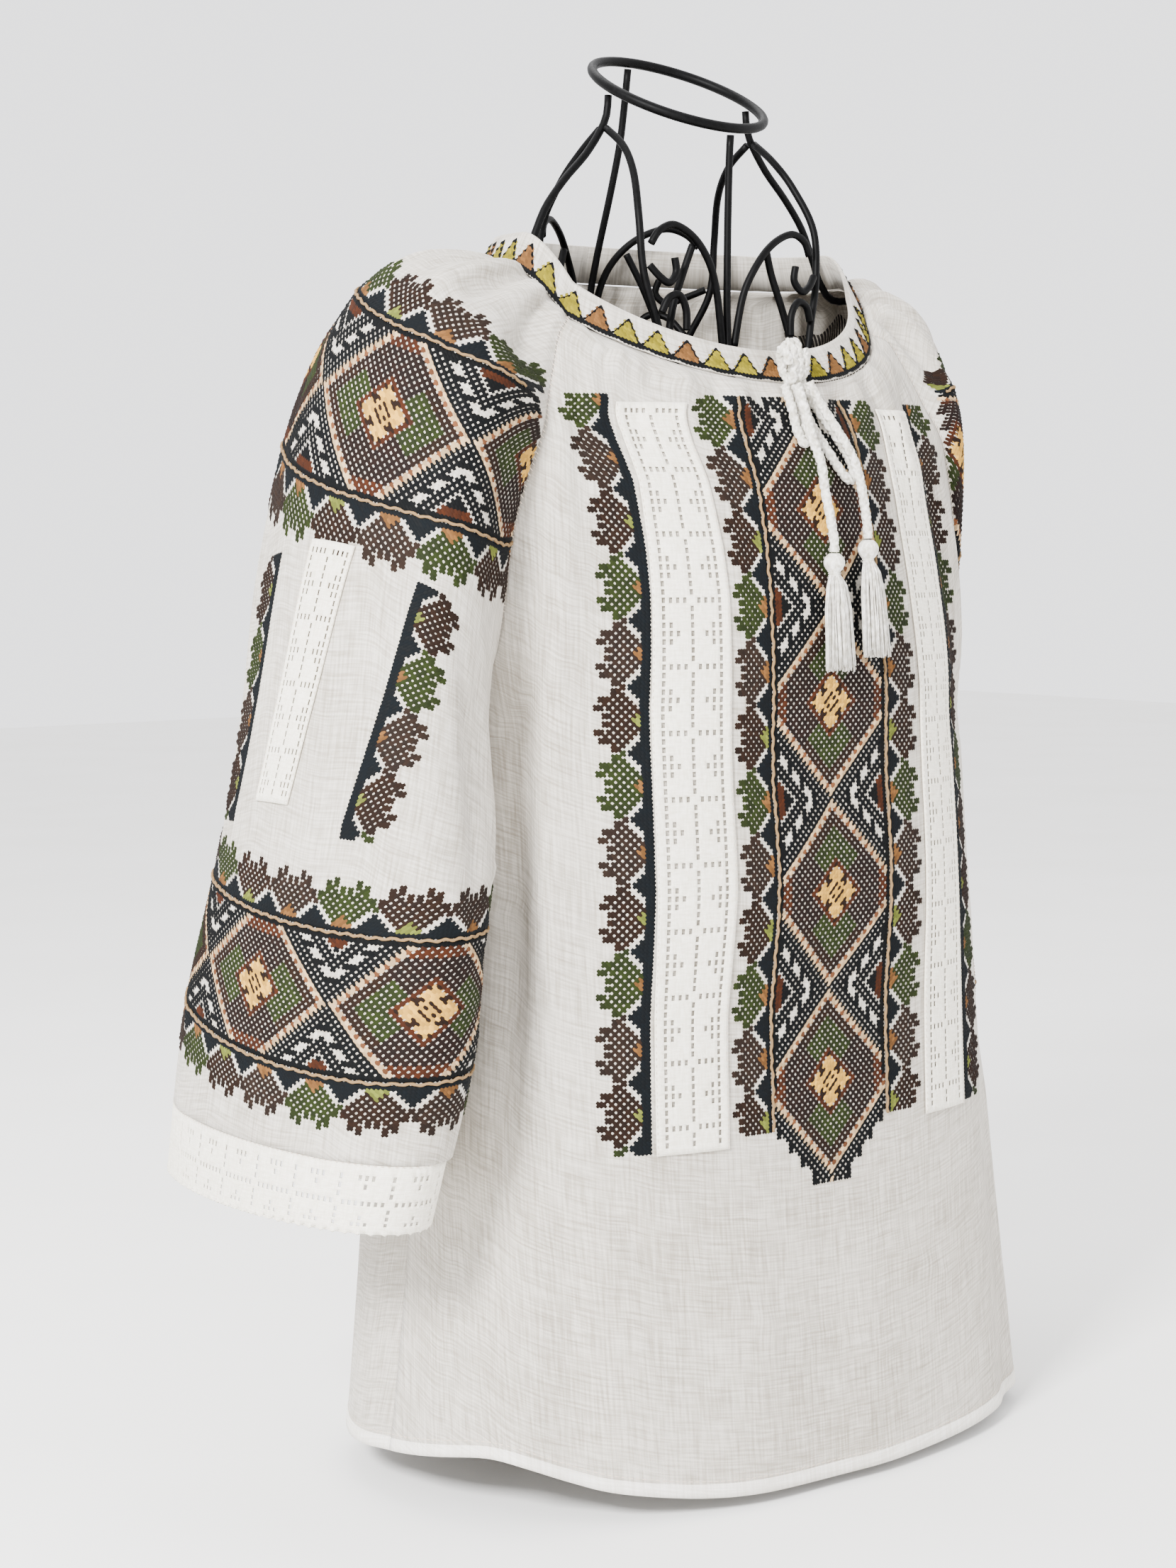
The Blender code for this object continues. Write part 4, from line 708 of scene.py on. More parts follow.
def add_node(tree: NodeTree, kind: str, inputs: dict | None = None, **settings) -> Node:
    """Adds a node.

    Args:
        tree: Where it goes.
        kind: The shader node's type.
        inputs: Values for its sockets, or sockets to link to them, by name or number.
        settings: The node's own properties.

    Returns:
        The node.
    """
    made = tree.nodes.new("ShaderNode" + kind)
    for key, value in settings.items():
        setattr(made, key, value)
    for key, value in (inputs or {}).items():
        if isinstance(value, NodeSocket):
            tree.links.new(value, made.inputs[key])
        else:
            made.inputs[key].default_value = value
    return made


def maths(tree: NodeTree, operation: str, *values: float | NodeSocket) -> NodeSocket:
    """Adds a sum of numbers or sockets and returns its result."""
    return add_node(tree, "Math", dict(enumerate(values)), operation=operation).outputs[0]


def bands(tree: NodeTree, place: NodeSocket, period: float, axis: str, **more) -> NodeSocket:
    """Adds bands of a period in millimetres, for coordinates in metres, and returns their strength."""
    inputs = {"Vector": place, "Scale": 314 / period, **more}
    return add_node(tree, "TexWave", inputs, bands_direction=axis).outputs["Fac"]


def ramp(tree: NodeTree, share: NodeSocket, *stops: tuple) -> NodeSocket:
    """Adds a ramp between two colours, each given with its place on the ramp, and returns the colour."""
    made = add_node(tree, "ValToRGB", {"Fac": share})
    for stop, (place, colour) in zip(made.color_ramp.elements, stops):
        stop.position = place
        stop.color = linear(colour)
    return made.outputs["Color"]


def set_inputs(shader: Node, **values: float) -> None:
    """Sets a shader's plain inputs, each named with _ for a space."""
    for name, value in values.items():
        shader.inputs[name.replace("_", " ")].default_value = value


def new_material(name: str) -> tuple:
    """Makes an empty material. Returns it, its tree and its shader."""
    material = bpy.data.materials.new(name)
    material.use_nodes = True
    tree = material.node_tree
    return material, tree, tree.nodes["Principled BSDF"]


def cloth_material(look: Cloth, uv: str | None) -> Material:
    """Makes a cloth finish: slubs along both sets of threads, and the weave's own relief.

    Long thin streaks both ways are what tells linen from a smooth cotton.

    Args:
        look: The finish.
        uv: A UV map in metres to lie along, or None to follow the object's own coordinates.

    Returns:
        The material.
    """
    material, tree, shader = new_material(look.name)
    source = add_node(tree, "UVMap", uv_map=uv) if uv else add_node(tree, "TexCoord")
    place = source.outputs[0 if uv else "Object"]
    streaks = []
    for stretch in ((1000 / look.slub, 1000 / 1.3, 300.0), (1000 / 1.5, 1000 / look.slub, 300.0)):
        turned = add_node(tree, "Mapping", {"Vector": place, "Scale": stretch}).outputs[0]
        noise = add_node(tree, "TexNoise", {"Vector": turned, "Scale": 1.0, "Detail": 2.0})
        streaks.append(noise.outputs["Fac"])
    both = maths(tree, "MULTIPLY", *streaks)
    cloud = add_node(tree, "TexNoise", {"Vector": place, "Scale": 9.0, "Detail": 2.0}).outputs["Fac"]
    both = maths(tree, "MULTIPLY_ADD", cloud, 0.22, both)
    colour = ramp(tree, both, (0.20, look.deep), (0.48, look.pale))
    tree.links.new(colour, shader.inputs["Base Color"])
    threads = (bands(tree, place, look.weave, axis, Distortion=1.2, Detail=1.0) for axis in "XY")
    weave = maths(tree, "MULTIPLY_ADD", both, 2.0, maths(tree, "MULTIPLY", *threads))
    bump = add_node(tree, "Bump", {"Height": weave, "Strength": 0.7, "Distance": look.relief / 1000})
    tree.links.new(bump.outputs[0], shader.inputs["Normal"])
    set_inputs(shader, Roughness=0.86, Specular_IOR_Level=0.25, Sheen_Weight=0.12, Sheen_Roughness=0.5)
    return material


def reverse_material(look: Cloth, worked: tuple) -> Material:
    """Makes the inner side of a worked sleeve, where each band shows as dark upright bars of thread.

    Args:
        look: The cloth's finish.
        worked: The middle, half width and bow of each worked band, on the map in metres.

    Returns:
        The material.
    """
    material = cloth_material(look, "Cloth")
    material.name = look.name + "_reverse"
    tree = material.node_tree
    shader = tree.nodes["Principled BSDF"]
    colour = shader.inputs["Base Color"].links[0].from_socket
    place = add_node(tree, "UVMap", uv_map="Cloth").outputs[0]
    across, down, _ = add_node(tree, "SeparateXYZ", {0: place}).outputs
    teeth, bars = (bands(tree, place, period, "X") for period in (REVERSE_TOOTH, REVERSE_BAR))
    bars = maths(tree, "GREATER_THAN", bars, 0.22)
    for middle, half, bow in worked:
        level = maths(tree, "MULTIPLY_ADD", maths(tree, "MULTIPLY", across, across), bow, down)
        off = maths(tree, "ABSOLUTE", maths(tree, "SUBTRACT", level, middle))
        inside = maths(tree, "LESS_THAN", off, maths(tree, "MULTIPLY_ADD", teeth, 0.012, half))
        share = maths(tree, "MULTIPLY", inside, bars)
        mixed = add_node(tree, "Mix", {0: share, 6: colour}, data_type="RGBA")
        mixed.inputs[7].default_value = linear(Thread.BARK.value)
        colour = mixed.outputs[2]
    tree.links.new(colour, shader.inputs["Base Color"])
    return material


def paint_material(look: Paint) -> Material:
    """Makes a painted finish whose colour and gloss vary a little, as handled paint does."""
    material, tree, shader = new_material(look.name)
    place = add_node(tree, "TexCoord").outputs["Object"]
    noise = add_node(tree, "TexNoise", {"Vector": place, "Scale": 1000 / look.grain, "Detail": 3.0})
    colour = ramp(tree, noise.outputs["Fac"], (0.35, look.colour), (0.72, look.worn))
    tree.links.new(colour, shader.inputs["Base Color"])
    span = {"Value": noise.outputs["Fac"], "To Min": look.smooth, "To Max": look.rough}
    tree.links.new(add_node(tree, "MapRange", span).outputs[0], shader.inputs["Roughness"])
    set_inputs(shader, Specular_IOR_Level=look.gleam)
    return material


def shaded(colour: str, share: float) -> tuple:
    """Returns a linear colour made lighter or darker by a share."""
    return tuple(min(1.0, part * share) for part in linear(colour)[:3]) + (1.0,)


# A thread's three shades, as shares of its colour: partly uneven dye, partly painted light and shade
# standing in for the turn of each stitch
DYE_AND_LIGHT_SHADES = (0.78, 1.0, 1.30)


def yarn_materials(threads: list) -> list:
    """Makes each thread in three shades: uneven hand-dyed yarn, and painted light and shade for how the
    turn of a stitch catches the light.
    """
    made = []
    for thread in threads:
        for i, share in enumerate(DYE_AND_LIGHT_SHADES):
            name = f"yarn_{thread.name.lower()}_{i}"
            known = bpy.data.materials.get(name)
            if known is None:
                known, _, shader = new_material(name)
                shader.inputs["Base Color"].default_value = shaded(thread.value, share)
                set_inputs(shader, Roughness=0.72 + 0.06 * i, Specular_IOR_Level=0.1)
            made.append(known)
    return made


# Mesh pieces


def add_piece(name: str, data: ID, materials: list) -> Object:
    """Puts a mesh in the scene as a piece that rides on the part, with its materials."""
    piece = bpy.data.objects.new(name, data)
    bpy.context.scene.collection.objects.link(piece)
    for material in materials:
        data.materials.append(material)
    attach(piece, "root")
    LOG.info("%s is made", name)
    return piece


def mesh_of(name: str, points: Array, faces: Array, slots: Array | None = None) -> Mesh:
    """Makes a smooth mesh from faces that all have the same number of corners.

    Args:
        name: The mesh's name.
        points: Its points.
        faces: Point numbers, a row for each face.
        slots: Material slots of the faces.

    Returns:
        The mesh.
    """
    points = np.asarray(points, float).reshape(-1, 3)
    faces = np.asarray(faces, np.int32)
    corners = faces.shape[1]
    mesh = bpy.data.meshes.new(name)
    mesh.vertices.add(len(points))
    mesh.vertices.foreach_set("co", points.astype(np.float32).ravel())
    mesh.loops.add(faces.size)
    mesh.loops.foreach_set("vertex_index", faces.ravel())
    mesh.polygons.add(len(faces))
    mesh.polygons.foreach_set("loop_start", np.arange(0, faces.size, corners, dtype=np.int32))
    if slots is not None:
        mesh.polygons.foreach_set("material_index", np.asarray(slots, np.int32))
    mesh.polygons.foreach_set("use_smooth", np.ones(len(faces), bool))
    mesh.update(calc_edges=True)
    mesh.validate()
    return mesh


def squares(rows: int, columns: int, outward: int, closed: bool = False) -> Array:
    """Returns the corners of a grid's squares, turned over where outward is above 0."""
    number = np.arange(rows * columns).reshape(rows, columns)
    after = np.roll(number, -1, axis=1)
    if not closed:
        number, after = number[:, :-1], after[:, :-1]
    corners = [number[:-1], number[1:], after[1:], after[:-1]]
    if outward > 0:
        corners = corners[::-1]
    return np.stack([c.ravel() for c in corners], axis=1)


def set_map(mesh: Mesh, name: str, places: Array) -> None:
    """Gives a mesh a UV map in metres from a place for each of its points."""
    layer = mesh.uv_layers.new(name=name)
    index = np.zeros(len(mesh.loops), np.int32)
    mesh.loops.foreach_get("vertex_index", index)
    layer.data.foreach_set("uv", places.reshape(-1, 2)[index].astype(np.float32).ravel())


@contextmanager
def reshaped(mesh: Mesh) -> Iterator:
    """Opens a mesh for bmesh operators and puts the result back."""
    shape = bmesh.new()
    shape.from_mesh(mesh)
    yield shape
    shape.to_mesh(mesh)
    shape.free()


def ring_squares(number: Array, closed: bool = False) -> Array:
    """Returns the corners of the squares between rings, from point numbers by ring and place on it."""
    if closed:
        number = np.concatenate([number, number[:1]])
    beside = np.roll(number, -1, axis=-1)
    corners = (number[..., :-1, :], beside[..., :-1, :], beside[..., 1:, :], number[..., 1:, :])
    return np.stack([c.ravel() for c in corners], axis=1)


def stand_in(name: str, mesh: Mesh, materials: list, node: str) -> Object:
    """Makes a piece, with the given materials, that stands for a CAD node, and hides the node."""
    piece = add_piece(name, mesh, materials)
    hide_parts(node)
    return piece


def shell(piece: Object, thickness: float, inner: int = 0) -> None:
    """Gives a sheet its thickness, inwards, with a material slot further on for the inner side."""
    wall = piece.modifiers.new("thickness", "SOLIDIFY")
    wall.thickness = thickness
    wall.offset = -1.0
    wall.material_offset = inner
    wall.use_rim = True


def tube_mesh(name: str, path: Array, radius: Array, sides: int, closed: bool = False) -> Mesh:
    """Makes a round tube along a path.

    Args:
        name: The mesh's name.
        path: Points along the middle.
        radius: The radius at each point and side, or one number.
        sides: How many sides it has.
        closed: Whether the path ends where it starts.

    Returns:
        The mesh.
    """
    count = len(path)
    way = unit(np.gradient(path, axis=0))
    if closed:
        way = unit(np.roll(path, -1, axis=0) - np.roll(path, 1, axis=0))
    up = np.zeros_like(path)
    last = np.array([0.0, 0.0, 1.0]) if abs(way[0][2]) < 0.9 else np.array([0.0, 1.0, 0.0])
    for i in range(count):
        last = unit(last - way[i] * np.dot(last, way[i]))
        up[i] = last
    beside = np.cross(way, up)
    if closed:
        twist = math.atan2(np.dot(up[-1], beside[0]), np.dot(up[-1], up[0]))
        turn_back = -twist * np.arange(count) / count
        up, beside = (
            up * np.cos(turn_back)[:, None] - beside * np.sin(turn_back)[:, None],
            beside * np.cos(turn_back)[:, None] + up * np.sin(turn_back)[:, None],
        )
    turn = turns(sides)
    radius = np.broadcast_to(np.asarray(radius, float), (count, sides))
    ring = np.cos(turn)[None, :, None] * up[:, None] + np.sin(turn)[None, :, None] * beside[:, None]
    points = path[:, None] + ring * radius[:, :, None]
    number = np.arange(count * sides).reshape(count, sides)
    faces = ring_squares(number, closed)
    points = points.reshape(-1, 3)
    if not closed:
        caps = []
        for middle, one, other in (
            (len(points), np.roll(number[0], -1), number[0]),
            (len(points) + 1, number[-1], np.roll(number[-1], -1)),
        ):
            caps += np.stack([np.full(sides, middle), one, other], axis=1).tolist()
        points = np.concatenate([points, path[:1] - way[:1] * 1e-4, path[-1:] + way[-1:] * 1e-4])
        mesh = bpy.data.meshes.new(name)
        mesh.from_pydata(points.tolist(), [], faces.tolist() + caps)
        mesh.polygons.foreach_set("use_smooth", np.ones(len(mesh.polygons), bool))
        mesh.update()
    else:
        mesh = mesh_of(name, points, faces)
    with reshaped(mesh) as shape:
        bmesh.ops.recalc_face_normals(shape, faces=shape.faces)
    return mesh


# Sewing

# Half width, height and overrun of the stitches of each kind
UNDER_LEG = (0.00115, 0.00054, 0.18)
OVER_LEG = (0.00120, 0.00098, 0.20)
OUTLINE = (0.00085, 0.0013, 0.10)
RUNNING = (0.00028, 0.00035)
WHIPPED = (0.00026, 0.00045)
# How far apart the stitches over a seam are, and how far each reaches into the cloth on both sides
SEAM_STEP = 0.0032
SEAM_BITE = 0.0017


@dataclass
class Legs:
    """Single stitches, each a thread that rises from the cloth, crosses over and goes back in.

    Attributes:
        starts: Where they leave the cloth.
        ends: Where they go back in.
        normals: The cloth's normals there.
        slots: Their material slots.
        half_width: Half the thread's width, in metres.
        height: How far it stands off the cloth in the middle, in metres.
        overrun: How far its ends reach past the holes, as a share of its length.
    """

    starts: Array
    ends: Array
    normals: Array
    slots: Array
    half_width: float
    height: float
    overrun: float = -0.04

    def build(self) -> tuple:
        """Returns the stitches' points, triangles and slots."""
        count = len(self.starts)
        random = np.random.RandomState(count % 9973 + 7)
        way = self.ends - self.starts
        side = unit(np.cross(way, self.normals))
        middle = (self.starts + self.ends) / 2 + way * random.uniform(-0.06, 0.06, (count, 1))
        high = self.height * random.uniform(0.85, 1.15, (count, 1))
        wide = self.half_width * random.uniform(0.88, 1.10, (count, 1))
        start = self.starts - way * self.overrun + self.normals * 0.00012
        end = self.ends + way * self.overrun + self.normals * 0.00012
        low = self.normals * high * 0.25
        points = np.stack(
            [
                start + side * wide * 0.72,
                start - side * wide * 0.72,
                middle + side * wide + low,
                middle + self.normals * high,
                middle - side * wide + low,
                end + side * wide * 0.72,
                end - side * wide * 0.72,
            ],
            axis=1,
        )
        shape = np.array([[0, 2, 3], [0, 3, 1], [1, 3, 4], [5, 3, 2], [5, 6, 3], [6, 4, 3]])
        faces = (np.arange(count) * 7)[:, None, None] + shape[None]
        return points.reshape(-1, 3), faces.reshape(-1, 3), np.repeat(self.slots, len(shape))


def join_legs(parts: list) -> tuple:
    """Joins several sets of stitches. Returns their points, triangles and slots."""
    points, faces, slots = [], [], []
    start = 0
    for part in parts:
        if not len(part.starts):
            continue
        p, f, s = part.build()
        points.append(p)
        faces.append(f + start)
        slots.append(s)
        start += len(p)
    return np.concatenate(points), np.concatenate(faces), np.concatenate(slots)


EMPTY = -1


def cross_legs(nodes: Array, normals: Array, chart: Array) -> list:
    """Lays a cross stitch in every filled square of a chart.

    Args:
        nodes: The squares' corners on the cloth, one more each way than the chart.
        normals: The cloth's normals at the corners.
        chart: Thread numbers, or EMPTY.

    Returns:
        The under legs and the upper legs.
    """
    rows, columns = np.nonzero(chart != EMPTY)
    a, b = nodes[rows, columns], nodes[rows + 1, columns + 1]
    c, d = nodes[rows, columns + 1], nodes[rows + 1, columns]
    normal = unit(normals[rows, columns] + normals[rows + 1, columns + 1])
    across, down = np.linalg.norm(c - a, axis=1), np.linalg.norm(b - c, axis=1)
    keep = (across > PITCH_ACROSS * 0.45) & (down > PITCH_DOWN * 0.35)
    keep &= (across < PITCH_ACROSS * 1.8) & (down < PITCH_DOWN * 1.8)
    random = np.random.RandomState(len(rows) % 9973 + 3)
    # Each cross takes one of its thread's shades at random: uneven dye together with painted light and
    # shade
    shade = random.choice([0, 1, 1, 2], len(rows))
    slots = chart[rows, columns] * len(DYE_AND_LIGHT_SHADES) + shade
    a, b, c, d, normal, slots = (values[keep] for values in (a, b, c, d, normal, slots))
    return [Legs(a, b, normal, slots, *UNDER_LEG), Legs(c, d, normal, slots, *OVER_LEG)]


def running_stitch(path: Array, normals: Array, length: float, gap: float, slot: int) -> Legs:
    """Lays a line of even stitches along a path, with a gap after each."""
    along = distances(path)
    starts = np.arange(gap / 2, along[-1] - length, length + gap)
    ends = [read_along(places, along, path) for places in (starts, starts + length)]
    return Legs(*ends, unit(read_along(starts, along, normals)), np.full(len(starts), slot), *RUNNING)


# Charts of the embroidery

THREADS = list(Thread)
NUMBER = {thread: i for i, thread in enumerate(THREADS)}
BIG_REPEAT = 48
SMALL_REPEAT = 16
# How many stitches wide a row of small diamonds is
BORDER = 13
TRIANGLE = 8
SMALL_HOOKS = (0, 1, 0, 2, 0, 2, 0, 1, 0)
SMALL_OUTER = (0, 1, 2, 3, 4, 4, 3, 3, 2)
SMALL_YARNS = ((Thread.BARK, Thread.LIME), (Thread.MOSS, Thread.COPPER), (Thread.ASH, Thread.COPPER))


def plain_slot(thread: Thread) -> int:
    """Returns the number of a thread's middle shade."""
    return NUMBER[thread] * len(DYE_AND_LIGHT_SHADES) + 1


def big_diamonds(i: Array, j: Array, half: int, inner: int, end: int | None = None) -> Array:
    """Charts the row of large hooked diamonds.

    Every part is told by the distance from a diamond's middle, counted in stitches along both ways, so
    that all the lines run at 45 degrees.

    Args:
        i: Stitches across from the row's middle line.
        j: Stitches along the row, 0 in the middle of a diamond.
        half: How many stitches the row reaches to each side.
        inner: Size of the dark triangles at the sides.
        end: The number of the diamond after whose middle only its own point is worked.

    Returns:
        A chart.
    """
    along = (j + BIG_REPEAT // 2) % BIG_REPEAT - BIG_REPEAT // 2
    wide, tall = np.abs(i), np.abs(along)
    far = wide + tall
    corner = (half - wide) + (BIG_REPEAT // 2 - tall)
    even = far % 2 == 0
    chart = np.full(far.shape, EMPTY)

    def put(where: Array, thread: Thread) -> None:
        chart[where] = NUMBER[thread]

    field = even & (far >= 10) & (far <= 21)
    put(field & (tall > wide) & (far <= 17), Thread.MOSS)
    put(field & (tall > wide) & (far > 17), Thread.BARK)
    put(field & (tall <= wide), Thread.PLUM)
    put(field & (wide >= half - 3), Thread.RUST)
    put(even & (far >= 7) & (far <= 9), Thread.RUST)
    put((far == 7) & (wide % 3 == 0), Thread.BARK)
    put(far <= 6, Thread.GOLD)
    put(far == 2, Thread.BARK)
    put((wide >= 2) & (wide <= 3) & (tall >= 2) & (tall <= 3) & (far >= 5), Thread.BARK)
    put((far >= 22) & (far <= 23), Thread.CREAM)
    put((far == 22) & (wide % 2 == 1), Thread.SAND)
    put(even & (far >= 24) & (far <= 28), Thread.BLACK)
    put((far >= 29) & (far <= 30) & (wide % 4 == 2), Thread.BLACK)
    if end is not None:
        over = j > end * BIG_REPEAT
        chart[over & (far > 30)] = EMPTY
    else:
        over = np.zeros(far.shape, bool)
    border = ~over & (corner >= inner + 2) & (corner <= inner + 6)
    put(border & (corner % 2 == 0) & (far > 31), Thread.BLACK)
    put(~over & (corner == inner + 7) & (tall % 4 == 1) & (far > 30), Thread.BLACK)
    put(~over & (corner <= inner), Thread.BLACK)
    put(~over & (corner <= inner) & (wide >= half - 2), Thread.RUST)
    put(~over & (wide == half), Thread.BLACK)
    return chart


def small_diamonds(a: Array, j: Array, bars: int) -> Array:
    """Charts the narrow row of small hooked diamonds.

    Args:
        a: Stitches from the straight side.
        j: Stitches along the row.
        bars: How many stitches wide the straight line at the side is.

    Returns:
        A chart.
    """
    from_neck = np.abs((j + SMALL_REPEAT // 2) % SMALL_REPEAT - SMALL_REPEAT // 2)
    which = (j // SMALL_REPEAT) % len(SMALL_YARNS)
    outer = np.array(SMALL_OUTER)[from_neck]
    off = a - 6
    chart = np.full(a.shape, EMPTY)
    for k, (yarn, bright) in enumerate(SMALL_YARNS):
        mine = which == k
        field = (off >= 1 - np.clip(from_neck, 1, 6)) & (off <= outer)
        chart[mine & field & ((off + from_neck) % 2 == 0)] = NUMBER[yarn]
        hook = np.array(SMALL_HOOKS)[from_neck]
        chart[mine & (off > outer) & (off <= outer + hook)] = NUMBER[yarn]
        chart[mine & (a + (8 - from_neck) <= 3)] = NUMBER[bright]
    chart[a + from_neck <= 4] = NUMBER[Thread.NAVY]
    chart[a < bars] = NUMBER[Thread.NAVY]
    return chart


def band_triangles(j: Array, row: Array) -> Array:
    """Charts the neck band, by stitches round it and up: a dark line with filled triangles over it."""
    off = np.abs(j % TRIANGLE + 0.5 - TRIANGLE / 2)
    fills = (Thread.OLIVE, Thread.OLIVE, Thread.COPPER)
    chart = np.full(j.shape, EMPTY)
    for k, thread in enumerate(fills):
        inside = off < (TRIANGLE - row) / 2
        chart[inside & (row >= 1) & ((j // TRIANGLE) % len(fills) == k)] = NUMBER[thread]
    chart[row == 0] = NUMBER[Thread.BLACK]
    return chart


@dataclass
class Needlework:
    """Collects the stitches of one piece and makes them into one mesh."""

    name: str
    parts: list = field(default_factory=list)

    def work(self, nodes: Array, normals: Array, chart: Array) -> None:
        """Adds a chart's cross stitches, on a lattice of its squares' corners."""
        self.parts += cross_legs(nodes, normals, chart)

    def sew(self, path: Array, normals: Array, length: float, gap: float, thread: Thread) -> None:
        """Adds a line of running stitches."""
        self.parts.append(running_stitch(path, normals, length, gap, plain_slot(thread)))

    def whip(self, one: Array, other: Array, normals: Array, thread: Thread) -> None:
        """Adds small stitches over a seam, from points on one side to points on the other."""
        self.parts.append(Legs(one, other, normals, np.full(len(one), plain_slot(thread)), *WHIPPED))

    def build(self, slot: str) -> Object | None:
        """Makes the piece, with only the yarns that it uses."""
        if not any(len(part.starts) for part in self.parts):
            return None
        points, faces, slots = join_legs(self.parts)
        used = np.unique(slots)
        yarns = yarn_materials(THREADS)
        mesh = mesh_of(self.name, points, faces, np.searchsorted(used, slots))
        LOG.info("%s: %d stitches", self.name, sum(len(part.starts) for part in self.parts))
        return add_piece(self.name, mesh, [yarns[i] for i in used])


# The blouse

# Half the neckline's width and depth, and the neck band: stitches round it, its height, the distance
# between its two faces, its cloth, the embroidery's rows and margin, and how far the triangles lean
NECK_WIDE = 0.130
NECK_DEEP = 0.098
BAND_STITCHES = 336
BAND_TALL = 0.022
BAND_WALL = 0.0023
BAND_CLOTH = 0.0007
BAND_ROW = 0.0021
BAND_MARGIN = 0.0012
BAND_LEAN = 0.034
# The narrow strips of the sleeves: how far from their middle and down the top line
SLEEVE_STRIP_OUT = 0.054
SLEEVE_STRIP_FROM = 0.252
SLEEVE_STRIP_TO = 0.404
# The hem's stitches: their length and the gap between them
HEM_STITCH = (0.0028, 0.0012)
# The golden cords: distance between points, longest step on one cord, height off the cloth, radius, twist
CORD_STEP = 0.0010
CORD_LONGEST = 0.0030
CORD_OFF = 0.0010
CORD_RADIUS = 0.00080
CORD_TWIST = 0.0042


@dataclass
class PanelWork:
    """Sizes of the embroidery down the front, in metres. Heights are above the hem."""

    half: int = 19
    inner: int = 5
    cord_gap: float = 0.0026
    centre_up: float = 0.449
    top_up: float = 0.622
    border_bottom_up: float = 0.204
    tip_up: float = 0.168
    strip_from: float = 0.1290
    strip_bottom_up: float = 0.199


@dataclass(frozen=True)
class Band:
    """Sizes of a wide band round a sleeve, in metres and stitches.

    Attributes:
        name: Its word in the names of the cords.
        middle: How far down the top line its middle lies.
        pitch_down: Height of a stitch.
        pitch_across: Width of a stitch.
        centre: How far from the top line one large diamond stands.
        half: How many stitches the large diamonds reach up and down.
        inner: Size of the dark triangles at the sides.
        bow: How strongly the band rises away from its centre.
        bow_change: How much more so, by distance down the band.
        tilt: How much it falls towards the back.
        steep: How strongly its upper half rises near the front seam.
        reach: How far it is worked to each side.
        cord_gap: The cloth left for a cord.
    """

    name: str
    middle: float
    pitch_down: float
    pitch_across: float
    centre: float
    half: int
    inner: int
    bow: float
    bow_change: float = 0.0
    tilt: float = 0.0
    steep: float = 0.0
    reach: float = 0.30
    cord_gap: float = 0.0024

    def down_of(self, across: Array, place: float) -> Array:
        """Returns how far down a sleeve a line of the band lies, by its own place down the band."""
        off = across - self.centre
        steep = np.maximum(-off - 0.055, 0.0) ** 2 * self.steep * max(0.0, 0.5 - place / 0.1)
        rise = self.tilt * off - (self.bow + self.bow_change * place) * off**2 - steep
        return self.middle + place + rise


def couched_cord(name: str, path: Array, normals: Array) -> Object:
    """Lays a twisted golden cord along a line on the cloth, and returns the piece."""
    along = distances(path)
    places = np.arange(0, along[-1], CORD_STEP)
    line = read_along(places, along, path)
    normal = unit(read_along(places, along, normals))
    side = unit(np.cross(np.gradient(line, axis=0), normal))
    sway = 0.00045 * np.sin(places * 2 * math.pi / 0.0091) + 0.0002 * np.sin(places * 2 * math.pi / 0.031)
    line = line + normal * CORD_OFF + side * sway[:, None]
    twist = 2 * turns(8)[None, :] - places[:, None] * 2 * math.pi / CORD_TWIST
    strand = CORD_RADIUS * (1 + 0.16 * np.cos(twist))
    mesh = tube_mesh(name, placed(line), strand, 8)
    return add_piece(name, mesh, [yarn_materials([Thread.STRAW])[1]])


